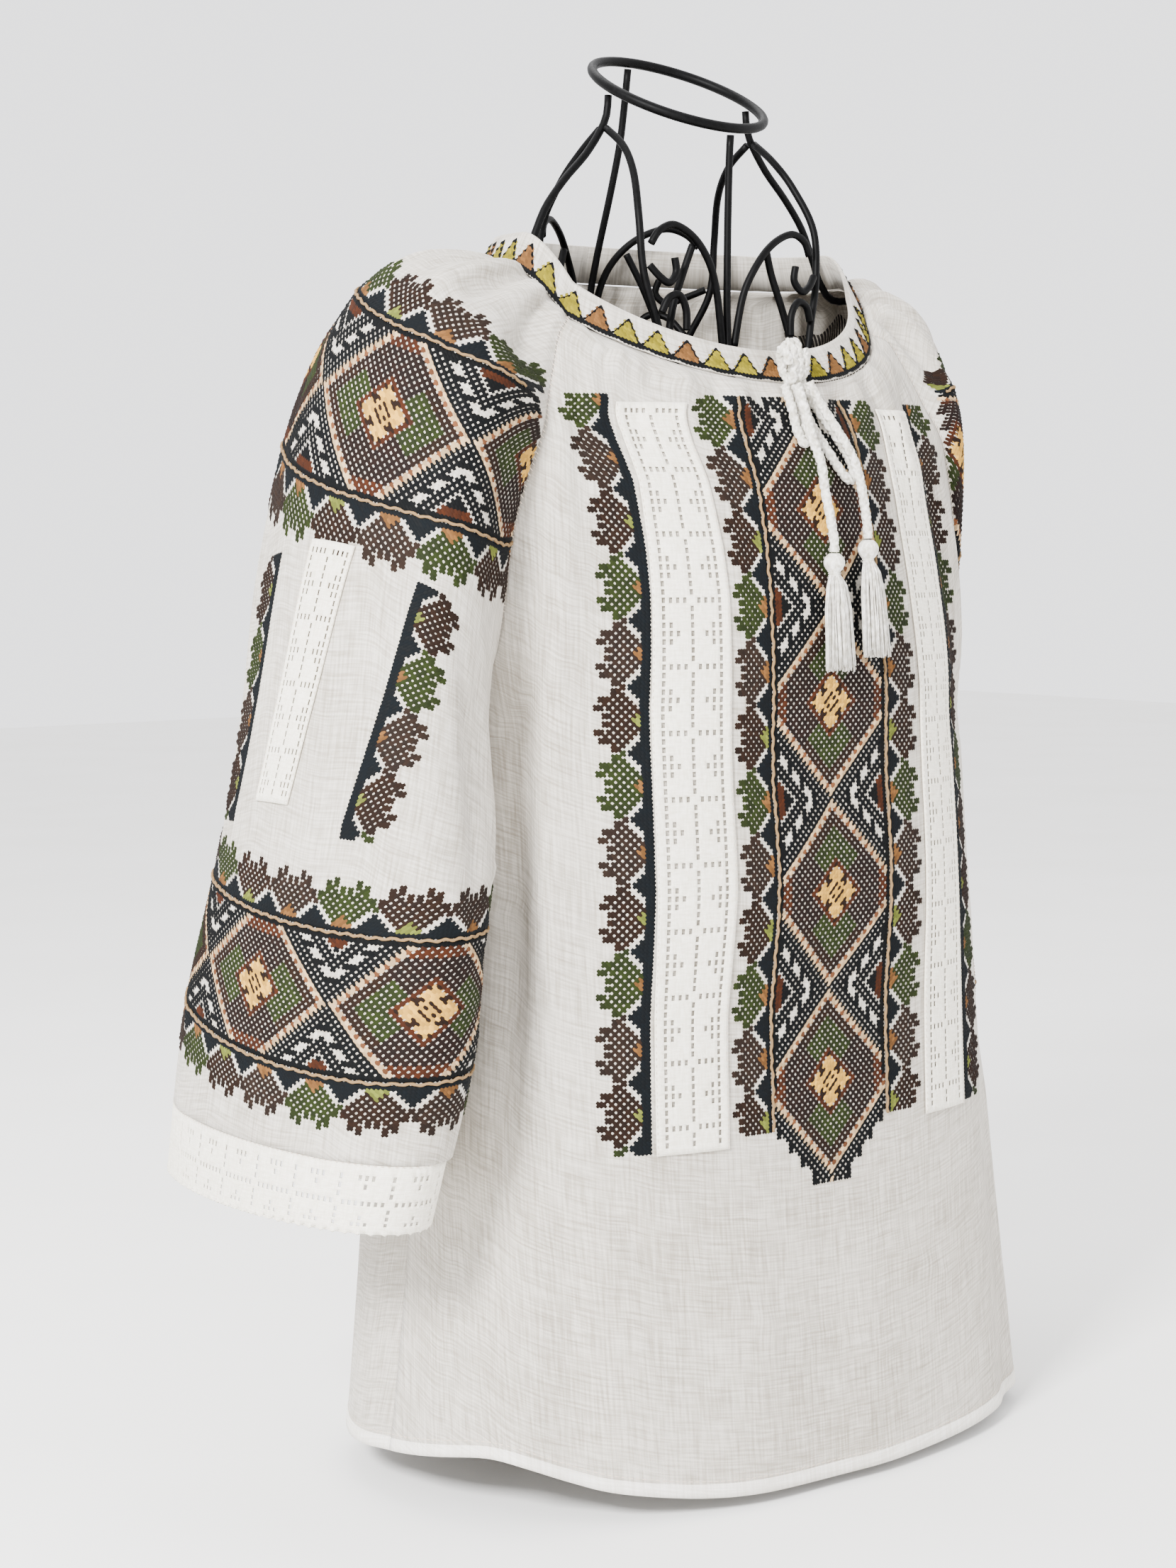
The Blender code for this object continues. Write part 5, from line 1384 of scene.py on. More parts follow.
class Blouse:
    """The cloth pieces, with their embroidery and sewing."""

    NODES = {"front": "front", "back": "back", "right": "sleeve_right", "left": "sleeve_left"}

    def __init__(self, linen: Material, folded: Material, grids: dict) -> None:
        self.linen = linen
        self.folded = folded
        self.reverse = reverse_material(LINEN, REVERSE_BANDS)
        self.grids = grids
        self.pieces: dict = {}
        self.worked: dict = {key: [] for key in (*grids, "neck_band")}

    def build(self) -> None:
        """Makes the cloth, the neck band and the needlework."""
        for key, grid in self.grids.items():
            self.build_cloth(key, grid)
        self.build_band()
        self.work_front()
        for side in Side:
            self.work_sleeve(side)
        self.sew_seams()

    def build_cloth(self, key: str, grid: ClothGrid) -> None:
        """Makes one piece of cloth as a thin shell."""
        rows, columns = grid.points.shape[:2]
        name = "cloth_" + self.NODES[key]
        points = grid.points.copy()
        slots = np.zeros((rows - 1, columns - 1), int)
        body = key in ("front", "back")
        if body:
            points[-3:] += grid.normals[-3:] * HEM_OUT
            slots[-3:] = 1
        mesh = mesh_of(name, placed(points), squares(rows, columns, grid.outward), slots.ravel())
        set_map(mesh, "Cloth", np.stack([grid.across, grid.down], axis=2))
        inner = self.folded if body else self.reverse
        self.pieces[key] = stand_in(name, mesh, [self.linen, inner], self.NODES[key])
        shell(self.pieces[key], CLOTH, 0 if body else 1)

    def band_face(self, turn: Array, share: Array) -> tuple:
        """Finds places on the outer face of the neck band.

        Args:
            turn: Angles round from the front, to the left.
            share: How far up the band, from 0 to 1.

        Returns:
            Points, the ways that the band's wall lies in from them, and normals, by share and turn.
        """
        bases, ups, walls = [], [], []
        for angle in turn:
            angle = angle if angle <= math.pi else angle - 2 * math.pi
            base = neckline(angle) + np.array([0, 0, 0.0009])
            end = 35 if math.cos(angle) > 0 else 15
            part = math.cos(angle) ** 2
            lean = math.radians(end * part + 30 * (1 - part))
            inward = unit(-np.array([base[0] / NECK_WIDE**2, base[1] / NECK_DEEP**2, 0]))
            bases.append(base)
            ups.append(np.array([0, 0, 1]) * math.cos(lean) + inward * math.sin(lean))
            walls.append(inward / math.cos(lean))
        bases, ups, walls = np.array(bases), np.array(ups), np.array(walls)
        points = bases[None] + ups[None] * (share * BAND_TALL)[:, None, None]
        across = np.roll(bases, -1, axis=0) - np.roll(bases, 1, axis=0)
        normals = np.broadcast_to(unit(np.cross(across, ups)), points.shape)
        return points, walls, normals

    def build_band(self) -> None:
        """Makes the neck band, a strip folded over at the top, with its row of triangles."""
        count = BAND_STITCHES
        turn = math.pi + turns(count)
        share = np.linspace(0, 1, 8)
        face, walls, normals = self.band_face(turn, share)
        ripple = 0.00035 * np.sin(turn * 42) * (1 - share[:, None])
        face = face + normals * ripple[:, :, None]
        rise = unit(face[-1] - face[-2])
        wall = walls * BAND_WALL
        fold = [face[-1] + wall * k + rise * 0.0009 * math.sin(k * math.pi) for k in (0.25, 0.5, 0.75)]
        back = [face[-1] + wall, face[4] + wall, face[0] + wall]
        strip = np.array([*face, *fold, *back])
        mesh = mesh_of("cloth_neck_band", placed(strip), squares(len(strip), count, 1, closed=True))
        steps = np.linalg.norm(np.diff(strip, axis=0, append=strip[-1:]), axis=2)
        down = np.cumsum(steps, axis=0)
        along = np.broadcast_to(turn * 0.115, down.shape)
        set_map(mesh, "Cloth", np.stack([along, down], axis=2))
        self.pieces["neck_band"] = stand_in("cloth_neck_band", mesh, [self.linen], "neck_band")
        shell(self.pieces["neck_band"], BAND_CLOTH)
        work = Needlework("stitches_neck_band")
        rows_up = np.arange(TRIANGLE + 1) * BAND_ROW + BAND_MARGIN
        ring = np.append(turn, turn[0])
        lean = BAND_LEAN * np.clip(np.cos(ring), 0, 1)
        levels = rows_up / BAND_TALL
        nodes, _, normals = self.band_face(ring, levels)
        for k, share in enumerate(rows_up / rows_up[-1]):
            nodes[k] = self.band_face(ring + lean * share, levels[k : k + 1])[0][0]
        j, row = np.meshgrid(np.arange(count), np.arange(len(rows_up) - 1))
        work.work(placed(nodes), normals, band_triangles(j, row))
        base = np.arange(0, count, TRIANGLE)
        black = np.full(len(base), plain_slot(Thread.BLACK))
        for foot in (0, TRIANGLE):
            for low, high in ((0, 2), (2, 4), (4, 6), (6, 8)):
                ends = [base + foot + round((TRIANGLE / 2 - foot) * k / TRIANGLE) for k in (low, high)]
                start, end = (placed(nodes[k, c]) for k, c in zip((max(low, 1), high), ends))
                work.parts.append(Legs(start, end, normals[low, ends[0]], black, *OUTLINE))
        self.worked["neck_band"].append(work.build("neck_band"))

    def work_front(self) -> None:
        """Works the panel and the narrow strips of the front, and lays the golden cords."""
        size = PanelWork()
        layout = FrontLayout(self.grids["front"])
        work = Needlework("stitches_front")
        zero = layout.down_of(size.centre_up)
        top = -int((zero - layout.down_of(size.top_up)) / PITCH_DOWN)

        def rows_to(up: float) -> Array:
            return np.arange(top, int((layout.down_of(up) - zero) / PITCH_DOWN))

        def corners(rows: Array) -> Array:
            return zero + (np.append(rows, rows[-1] + 1) - 0.5) * PITCH_DOWN

        rows = rows_to(size.tip_up)
        columns = np.arange(-size.half, size.half + 1)
        across = (np.append(columns, size.half + 1) - 0.5) * PITCH_ACROSS
        nodes, normals = layout.nodes(across, corners(rows))
        i, j = np.meshgrid(columns, rows)
        work.work(placed(nodes), normals, big_diamonds(i, j, size.half, size.inner, end=2))
        edge = (size.half + 0.5) * PITCH_ACROSS
        strips = (
            (edge + size.cord_gap, size.border_bottom_up, 0, 1),
            (size.strip_from, size.strip_bottom_up, 5, 2),
        )
        for side in Side:
            for start, bottom_up, shift, bars in strips:
                rows = rows_to(bottom_up)
                across = side.value * (start + np.arange(BORDER + 1) * PITCH_ACROSS)
                nodes, normals = layout.nodes(across, corners(rows))
                a, j = np.meshgrid(np.arange(BORDER), rows)
                work.work(placed(nodes), normals, small_diamonds(a, j + shift, bars))
            down = np.arange(layout.down_of(size.top_up), layout.down_of(size.border_bottom_up), 0.002)
            line = np.array([side.value * (edge + size.cord_gap / 2)])
            path, normals = layout.nodes(line, down)
            cord = couched_cord("gold_cord_front_" + side.word, path[:, 0], normals[:, 0])
            self.worked["front"].append(cord)
        for key, work in (("front", work), ("back", Needlework("stitches_back"))):
            self.sew_hem(self.grids[key], work)
            self.worked[key].append(work.build(key))

    @staticmethod
    def sew_hem(grid: ClothGrid, work: Needlework) -> None:
        """Sews the hem of a body piece just above its fold."""
        left = grid.down[-1] - HEM - 0.0008
        rows = np.arange(len(grid.down))
        row = np.array([np.interp(left[c], grid.down[:, c], rows) for c in range(len(left))])
        points, normals = grid.at(row, np.arange(len(left)).astype(float))
        work.sew(placed(points), normals, *HEM_STITCH, Thread.SHELL)

    def work_sleeve(self, side: Side) -> None:
        """Works the two bands and the two narrow strips of a sleeve."""
        key = side.word
        layout = SleeveLayout(self.grids[key])
        work = Needlework("stitches_sleeve_" + key)
        right = side is Side.RIGHT
        centre = -0.042 * right
        upper = Band("upper", 0.169, 0.00250, 0.00236, centre, 19, 5, 4.2, bow_change=-18.0, steep=6.0)
        lower = Band("lower", 0.489, 0.00212, 0.00250, centre * 0.1, 17, 3, 0.6, tilt=-0.09 * right)
        for band in (upper, lower):
            self.work_band(side, layout, work, band)
        down = np.arange(SLEEVE_STRIP_FROM, SLEEVE_STRIP_TO, PITCH_DOWN)
        middle = np.interp(down, (0.25, 0.397), (-0.030 * right, 0.0))
        a, j = np.meshgrid(np.arange(BORDER), np.arange(len(down) - 1))
        for way in (-1, 1):
            across = way * (SLEEVE_STRIP_OUT + np.arange(BORDER + 1) * PITCH_ACROSS)
            nodes, normals = layout.nodes(across, down, middle)
            work.work(placed(nodes), normals, small_diamonds(a, j, 2))
        self.worked[key].append(work.build("sleeve_" + key))

    def work_band(self, side: Side, layout: SleeveLayout, work: Needlework, band: Band) -> None:
        """Works a wide band round a sleeve, with a golden cord on each side of its large diamonds."""
        half = band.half
        j = np.arange(int(-band.reach / band.pitch_across), int(band.reach / band.pitch_across))
        across = band.centre + (np.append(j, j[-1] + 1) - 0.5) * band.pitch_across
        edge = (half + 0.5) * band.pitch_down
        big = partial(big_diamonds, half=half, inner=band.inner)
        small = partial(small_diamonds, bars=1)
        inner = (np.arange(-half, half + 2) - 0.5) * band.pitch_down
        lattices = [(np.arange(-half, half + 1), inner, big)]
        for way in (-1, 1):
            outer = way * (edge + band.cord_gap + np.arange(BORDER + 1) * band.pitch_down)
            lattices.append((np.arange(BORDER), outer, small))
        for columns, places, chart_of in lattices:
            traced = [layout.trace(across, band.down_of(across, place)) for place in places]
            nodes, normals, inside = (np.stack(values, axis=1) for values in zip(*traced))
            whole = inside[:-1, :-1] & inside[1:, :-1] & inside[:-1, 1:] & inside[1:, 1:]
            work.work(placed(nodes), normals, np.where(whole, chart_of(*np.meshgrid(columns, j)), EMPTY))
        for way, word in ((-1, "top"), (1, "low")):
            fine = np.arange(band.centre - band.reach, band.centre + band.reach, 0.002)
            down = band.down_of(fine, way * (edge + band.cord_gap / 2))
            line, normals, inside = layout.trace(fine, down)
            line, normals = line[inside], normals[inside]
            even = np.linalg.norm(np.diff(line, axis=0, append=line[-1:]), axis=1) < CORD_LONGEST
            cord = couched_cord(f"gold_cord_{band.name}_{word}_{side.word}", line[even], normals[even])
            self.worked[side.word].append(cord)

    def sew_seams(self) -> None:
        """Sews the raglan seams with small stitches over the join."""
        for side in Side:
            sleeve = self.grids[side.word]
            work = Needlework("stitches_seams_" + side.word)
            edge, inside = (0, 1) if side is Side.RIGHT else (-1, -2)
            for body, rim, inner_rim in (("front", 0, 1), ("back", -1, -2)):
                grid = self.grids[body]
                line, beside = grid.points[:, edge], grid.points[:, inside]
                rows = line[:, 2] > 0.421
                line, beside = line[rows], beside[rows]
                normal = unit(grid.normals[rows, edge] + 0.001)
                along = distances(line)
                places = np.arange(0.004, along[-1], SEAM_STEP)
                points = read_along(places, along, line)
                inner = unit(read_along(places, along, beside - line)) * SEAM_BITE
                edge_line, next_line = sleeve.points[:, rim], sleeve.points[:, inner_rim]
                order = np.argsort(edge_line[:, 2])
                ways = (next_line - edge_line)[order]
                over = unit(read_along(points[:, 2], edge_line[order, 2], ways)) * SEAM_BITE
                normals = unit(read_along(places, along, normal))
                work.whip(placed(points + inner), placed(points + over), normals, Thread.SHELL)
            self.worked[side.word].append(work.build("sleeve_" + side.word))


# Lace


# Where the crochet is open in a repeat of eight rows, by mesh across
LACE_ROWS = (
    "XXXX.XXXX",
    "X...X...X",
    "X...X...X",
    "XX..X..XX",
    "XXX.X.XXX",
    "XX..X..XX",
    "X...X...X",
    "X...X...X",
)
LACE_OPEN = np.array([[mark == "X" for mark in line] for line in LACE_ROWS])


@dataclass(frozen=True)
class Crochet:
    """Sizes of filet crochet, in metres.

    Attributes:
        mesh: Distance between two openings across.
        row: Distance between two rows of openings.
        hole: Width of an opening.
        hole_tall: Height of an opening.
        thick: The crochet's thickness.
    """

    mesh: float = 0.0039
    row: float = 0.0046
    hole: float = 0.0019
    hole_tall: float = 0.0031
    thick: float = 0.0009

    def lines_across(self, width: float) -> tuple:
        """Returns the crochet's lines across a strip, from its middle, and each gap's opening number."""
        meshes = LACE_OPEN.shape[1]
        border = (width - meshes * self.mesh) / 2
        lines, openings = [0.0, border / 2], [EMPTY]
        start = border
        for k in range(meshes):
            side = (self.mesh - self.hole) / 2
            lines += [start + side, start + side + self.hole]
            openings += [EMPTY, k]
            start += self.mesh
        lines += [width - border / 2, width]
        openings += [EMPTY, EMPTY]
        return np.array(lines) - width / 2, openings

    def lines_down(self, length: float) -> tuple:
        """Returns the lines of the crochet down a strip and each gap's row number."""
        rows = int((length - 0.004) / self.row)
        edge = (length - rows * self.row) / 2
        lines, openings = [0.0], []
        for k in range(rows):
            start = edge + k * self.row + (self.row - self.hole_tall) / 2
            lines += [start, start + self.hole_tall]
            openings += [EMPTY, k]
        lines.append(length)
        openings.append(EMPTY)
        return np.array(lines), openings


def open_squares(down_openings: list, across_openings: list) -> Array:
    """Tells which squares between the lines are open, from the openings' numbers down and across."""
    rows, columns = np.array(down_openings)[:, None], np.array(across_openings)[None]
    found = LACE_OPEN[rows % LACE_OPEN.shape[0], columns % LACE_OPEN.shape[1]]
    return found & (rows != EMPTY) & (columns != EMPTY)


# The strips' widths, ends and places, in metres: the front's ends are heights above the hem, and the
# sleeves' are distances down the top line. A sleeve's strip is worked wide and laid narrower. The last
# row is the length of the sewing's stitches and the gap between them.
FRONT_LACE_WIDE = 0.043
FRONT_LACE_TOP = 0.618
FRONT_LACE_LOW = 0.199
FRONT_LACE_OUT = (0.081 + 0.124) / 2
SLEEVE_LACE_WORKED = 0.0385
SLEEVE_LACE_LAID = 0.033
SLEEVE_LACE_FROM = 0.245
SLEEVE_LACE_TO = 0.390
LACE_STITCH = (0.0016, 0.0022)


class LaceWork:
    """The crochet strips down the front and the sleeves, and the edging of the cuffs."""

    OFF_CLOTH = 0.0016

    def __init__(self, cotton: Material, grids: dict) -> None:
        self.cotton = cotton
        self.grids = grids
        self.crochet = Crochet()

    def build(self) -> None:
        """Makes every strip."""
        front = FrontLayout(self.grids["front"])
        for side in Side:
            self.build_front(side, front)
            self.build_sleeve(side)
            self.build_cuff(side)

    def crochet_piece(
        self, name: str, points: Array, places: Array, is_open: Array, outward: int
    ) -> Object:
        """Makes a piece of crochet from a lattice, its places on the map and its open squares."""
        faces = squares(*points.shape[:2], outward)[~is_open.ravel()]
        mesh = mesh_of(name + "_crochet", points, faces)
        set_map(mesh, "Cloth", places)
        piece = stand_in(name + "_crochet", mesh, [self.cotton], name)
        shell(piece, self.crochet.thick)
        return piece

    def add_strip(self, name: str, points: Array, normals: Array, is_open: Array, outward: int) -> None:
        """Makes a strip of crochet from a lattice on the cloth.

        Args:
            name: The CAD node that it stands for.
            points: The lattice.
            normals: The cloth's normals there.
            is_open: Which squares are open.
            outward: 1 if the squares have to be turned over to face out.
        """
        raised = placed(points + normals * self.OFF_CLOTH)
        across, down = along_grid(points, 1), along_grid(points, 0)
        piece = self.crochet_piece(name, raised, np.stack([across, down], axis=2), is_open, outward)
        work = Needlework("stitches_" + name)
        for column, inset in ((0, 1), (-1, -2)):
            path = raised[:, column] * 0.7 + raised[:, inset] * 0.3
            work.sew(path + normals[:, column] * 0.0001, normals[:, column], *LACE_STITCH, Thread.SHELL)
        sewn = work.build(name)

    def build_front(self, side: Side, layout: FrontLayout) -> None:
        """Makes a strip down the front, between the panel and the narrow embroidery."""
        across, across_open = self.crochet.lines_across(FRONT_LACE_WIDE)
        top, bottom = layout.down_of(FRONT_LACE_TOP), layout.down_of(FRONT_LACE_LOW)
        down, down_open = self.crochet.lines_down(bottom - top)
        centre = side.value * FRONT_LACE_OUT
        is_open = open_squares(down_open, across_open)
        self.add_strip("lace_front_" + side.word, *layout.nodes(centre + across, top + down), is_open, -1)

    def build_sleeve(self, side: Side) -> None:
        """Makes the short strip down the middle of a sleeve."""
        layout = SleeveLayout(self.grids[side.word])
        across, across_open = self.crochet.lines_across(SLEEVE_LACE_WORKED)
        across = across * SLEEVE_LACE_LAID / SLEEVE_LACE_WORKED
        down, down_open = self.crochet.lines_down(SLEEVE_LACE_TO - SLEEVE_LACE_FROM)
        drift = (-0.026, 0.006) if side is Side.RIGHT else (0.0, 0.0)
        nodes = layout.nodes(across, SLEEVE_LACE_FROM + down, np.interp(down, (0, down[-1]), drift))
        is_open = open_squares(down_open, across_open)
        self.add_strip("lace_sleeve_" + side.word, *nodes, is_open, -side.value)

    def build_cuff(self, side: Side) -> None:
        """Makes the edging of a cuff, whose lower edge is scalloped."""
        key = side.word
        last = len(SLEEVES[side]) - 1
        outward = -side.value
        rough = sleeve_rows(side, 200, np.linspace(CUFF_SECTION, last, 12))
        grid = ClothGrid(outward, rough, 27)
        length = float(np.median(grid.down[-1]))
        around = float(grid.across[6, -1] - grid.across[6, 0])
        meshes = int(round(around / self.crochet.mesh / 16)) * 16
        columns, column_open = [], []
        for k in range(meshes):
            start = k / meshes
            columns += [start, start + self.crochet.hole / self.crochet.mesh / meshes]
            column_open += [k, EMPTY]
        columns.append(1.0)
        rows_open = [EMPTY]
        rows = [0.0, 0.0050]
        while rows[-1] + self.crochet.row < length - 0.0035:
            rows += [rows[-1] + self.crochet.hole_tall * 0.85, rows[-1] + self.crochet.row * 0.92]
            rows_open += [(len(rows_open) + 1) // 2, EMPTY]
        rows += [length - 0.0018, length]
        rows_open += [EMPTY, EMPTY]
        down, across = np.array(rows)[:, None], np.array(columns)[None]
        points, normals = grid.at(*np.broadcast_arrays(down / length * 11, across * 200))
        points[-1, :, 2] += 0.0014 * np.abs(np.sin(across[0] * math.pi * meshes / 2))
        points[0] += (points[1] - points[0]) * 0.05
        name = "lace_cuff_" + key
        places = np.stack(np.broadcast_arrays(across * around, down), axis=2)
        is_open = open_squares(column_open, rows_open).T
        piece = self.crochet_piece(name, placed(points), places, is_open, outward)
        work = Needlework("stitches_" + name)
        path = placed(points[0] + normals[0] * 0.0003)
        work.sew(path, normals[0], *LACE_STITCH, Thread.SHELL)
        work.build(name)


# The neck tie

CORD_DIAMETER = 0.0055
KNOT_CENTRE = (0.001, 0.6435, 0.0118)
LOOP_SHORT = in_metres((
    (-62, 6300, 40), (-75, 6160, 38), (-78, 6050, 38), (-55, 5965, 38), (-20, 5985, 38), (-8, 6080, 38),
    (-4, 6180, 38), (-4, 6295, 40),
))
LOOP_LONG = in_metres((
    (85, 6325, 40), (130, 6190, 38), (200, 6050, 38), (270, 5930, 38), (305, 5830, 38), (270, 5755, 38),
    (200, 5790, 38), (135, 5890, 38), (85, 6000, 38), (60, 6120, 38), (55, 6300, 40),
))
END_RIGHT = in_metres((
    (-20, 6300, 107), (-30, 6150, 104), (-35, 5980, 104), (-20, 5850, 95), (-15, 5700, 70),
    (-15, 5550, 80), (-15, 5420, 92), (-15, 5345, 86),
))
END_LEFT = in_metres((
    (70, 6318, 115), (125, 6170, 112), (190, 6010, 112), (250, 5870, 112), (280, 5730, 100),
    (288, 5620, 94), (285, 5500, 98), (284, 5420, 94),
))


def smooth_route(points: tuple, count: int) -> Array:
    """Returns evenly spaced points on a smooth curve through a route's points."""
    fine = read_table(points, ("x", "y", "z"), np.linspace(0, len(points) - 1, 24 * len(points)))
    return spread(np.stack([fine["x"], fine["y"], fine["z"]], axis=1), count)


# A tassel's outline: the head's width by share of its length, where the strands bend, and how far they
# spread, by share of the skirt's length
HEAD_WIDTHS = (
    (0, 0.46), (0.07, 0.66), (0.18, 0.88), (0.34, 1.0), (0.50, 0.98), (0.66, 0.82), (0.80, 0.58),
    (0.92, 0.52), (1.0, 0.56),
)
STRAND_LEVELS = (-0.045, 0.10, 0.35, 0.70, 1.0)
SKIRT_WIDTHS = ((-0.045, 0.22), (0.10, 0.62), (0.35, 0.80), (1.0, 1.0))


@dataclass
class Tassel:
    """Sizes of a tassel, in metres, and how many strands it has."""

    gap: float = 0.0008
    head: float = 0.0130
    head_radius: float = 0.0060
    skirt: float = 0.0520
    spread: float = 0.0110
    spread_deep: float = 0.0046
    strands: int = 110
    strand_radius: float = 0.00058


class NeckTie:
    """The plaited tie: a knot, two loops, and two ends with tassels."""

    def __init__(self, cotton: Material, front: ClothGrid) -> None:
        self.cotton = cotton
        self.ups = front.points[::-1, :, 2]
        self.outs = front.points[::-1, :, 0]
        self.deeps = front.points[::-1, :, 1]

    def build(self) -> None:
        """Makes the knot, loops, ends and tassels."""
        self.build_knot()
        self.build_cord("tie_loop_short", LOOP_SHORT)
        self.build_cord("tie_loop_long", LOOP_LONG)
        for side, route in ((Side.RIGHT, END_RIGHT), (Side.LEFT, END_LEFT)):
            tassel = self.build_tassel("tassel_" + side.word, route[-1])
            self.build_cord("tie_end_" + side.word, route)

    def cloth_face(self, out: float, up: float) -> float:
        """Returns how far forward the front or the band stands at a distance to the left and a height."""
        edge = neckline(math.asin(max(-1.0, min(1.0, out / NECK_WIDE))))
        if up > edge[2]:
            return edge[1] + (up - edge[2]) * math.tan(math.radians(35))
        middle = self.outs.shape[1] // 2
        near = range(middle - 24, middle + 25)
        outs = [np.interp(up, self.ups[:, c], self.outs[:, c]) for c in near]
        deeps = [np.interp(up, self.ups[:, c], self.deeps[:, c]) for c in near]
        return float(np.interp(out, outs, deeps))

    def off_cloth(self, route: tuple) -> Array:
        """Returns points in front of the cloth, from (out, up, off) rows."""
        return placed([(out, self.cloth_face(out, up) - off, up) for out, up, off in route])

    @staticmethod
    def plait(name: str, path: Array, radius: float) -> Mesh:
        """Makes a plaited cord: strands that cross in turn show as slanting lobes on both faces."""
        length = float(steps_of(path).sum())
        line = spread(path, int(length / 0.0005) + 2)
        places = np.linspace(0, length, len(line))
        turn = turns(16)
        wave = places[:, None] * 2 * math.pi / 0.0078
        lobes = np.maximum(np.cos(2 * turn[None] - wave), np.cos(2 * turn[None] + wave + 1.57))
        shape = radius * (0.56 + 0.50 * np.abs(lobes) ** 0.9)
        return tube_mesh(name, line, shape, 16)

    def build_knot(self) -> None:
        """Makes the knot: the plait wound round itself."""
        centre = self.off_cloth((KNOT_CENTRE,))[0]
        turn = np.linspace(0, 2 * math.pi * 3.1, 110)
        share = np.linspace(-1, 1, 110)
        x = centre[0] + 0.0064 * share - 0.0016 * np.sin(turn)
        y = centre[1] - 0.0041 * np.cos(turn)
        z = centre[2] + 0.0001 + 0.0118 * np.sin(turn) * (1 - 0.25 * np.abs(share)) + 0.0020 * share
        mesh = self.plait("tie_knot_plait", np.stack([x, y, z], axis=1), 0.0029)
        stand_in("tie_knot_plait", mesh, [self.cotton], "tie_knot")

    def build_cord(self, name: str, route: tuple) -> None:
        """Makes a free cord of the tie."""
        path = smooth_route(tuple(map(tuple, self.off_cloth(route))), 60)
        mesh = self.plait(name + "_plait", path, CORD_DIAMETER / 2)
        piece = stand_in(name + "_plait", mesh, [self.cotton], name)

    def build_tassel(self, name: str, end: tuple) -> Object:
        """Makes a tassel: a head bound with yarn and a skirt of loose strands."""
        size = Tassel()
        out, up, off = end
        top = up - size.gap
        axis = self.off_cloth((end,))[0]
        shares = np.linspace(0, 1, 40)
        radius = size.head_radius * look_up(shares, HEAD_WIDTHS)
        wound = (shares > 0.76) & (shares < 0.98)
        ridges = np.where(wound, 0.00032 * np.sin(shares * size.head * 2 * math.pi / 0.0011), 0.0)
        path = np.tile(axis, (len(shares), 1))
        path[:, 2] = top - size.head * shares + AXIS[2]
        turn = turns(20)
        flutes = np.where(wound, 0.0, 1.0)[:, None] * 0.00022 * np.cos(turn * 10)[None]
        head = tube_mesh(name + "_head", path, (radius + ridges)[:, None] + flutes, 20)
        random = np.random.RandomState(17 + len(name))
        points = []
        sides = 3
        for _ in range(size.strands):
            around = 2 * math.pi * random.rand()
            reach = math.sqrt(0.08 + 0.92 * random.rand())
            sway = 1 + 0.10 * random.uniform(-1, 1)
            long = 1 + 0.05 * random.uniform(-1, 1)
            curl = random.uniform(-0.0006, 0.0006)
            for level, share in enumerate(STRAND_LEVELS):
                wide = size.spread * look_up(share, SKIRT_WIDTHS) * reach * (sway if share > 0 else 1.0)
                x = out + wide * math.cos(around)
                z = top - size.head - size.skirt * share * (long if share > 0 else 1.0)
                deep = size.head_radius * 0.40 if share < 0 else size.spread_deep * (0.9 + 0.1 * share)
                if share < 0:
                    behind = axis[1] - deep * reach * math.sin(around)
                    place = np.array([x + AXIS[0], behind, z + AXIS[2]])
                else:
                    away = off + (size.spread_deep * 0.5 - 0.001) * share
                    away += deep * reach * math.sin(around)
                    place = self.off_cloth(((x + curl * math.sin(level * 2.2), z, away),))[0]
                angle = around + turns(sides)
                thin = size.strand_radius * (0.8 if share < 0 or share == 1.0 else 1.0)
                ring = np.stack([thin * np.cos(angle), -thin * np.sin(angle), np.zeros(sides)], axis=1)
                points.append(place + ring)
        number = np.arange(len(points) * sides).reshape(size.strands, -1, sides)
        mesh = mesh_of(name + "_strands", np.concatenate(points), ring_squares(number))
        with reshaped(mesh) as shape:
            bmesh.ops.recalc_face_normals(shape, faces=shape.faces)
            bmesh.ops.holes_fill(shape, edges=[e for e in shape.edges if e.is_boundary], sides=sides)
            shape.from_mesh(head)
        mesh.polygons.foreach_set("use_smooth", np.ones(len(mesh.polygons), bool))
        return stand_in(name + "_yarn", mesh, [self.cotton], name)


# The wire form

UPRIGHT_FRONT = in_metres((
    (477, 7775), (465, 7600), (455, 7300), (450, 7000), (450, 6700), (480, 6400), (600, 6100),
    (830, 5800), (1050, 5450), (1180, 5100), (1250, 4700), (1260, 4300), (1210, 3800), (1080, 3200),
    (980, 2600), (920, 1800), (820, 1000), (765, 400), (760, -25),
))
UPRIGHT_BACK = in_metres((
    (477, 8265), (520, 8000), (565, 7790), (660, 7500), (780, 7170), (860, 6900), (920, 6600),
    (990, 6200), (1060, 5700), (1120, 5000), (1130, 4300), (1050, 3600), (980, 3000), (920, 2000),
    (820, 1000), (765, 400), (760, -25),
))
UPRIGHT_SIDE_TOP = in_metres((
    (535, 8008), (560, 7860), (690, 7670), (860, 7500), (1000, 7330), (1085, 7160), (1160, 7000),
    (1280, 6900),
))
UPRIGHT_SIDE_LOW = in_metres((
    (2050, 5900), (1900, 5450), (1740, 5000), (1640, 4550), (1600, 4100), (1550, 3500), (1500, 2800),
    (1350, 2000), (1180, 1000), (1090, 400), (1080, -25),
))
SHOULDER_SECTIONS = (1.0, 1.5, 2.0, 2.5, 2.9, 3.2)
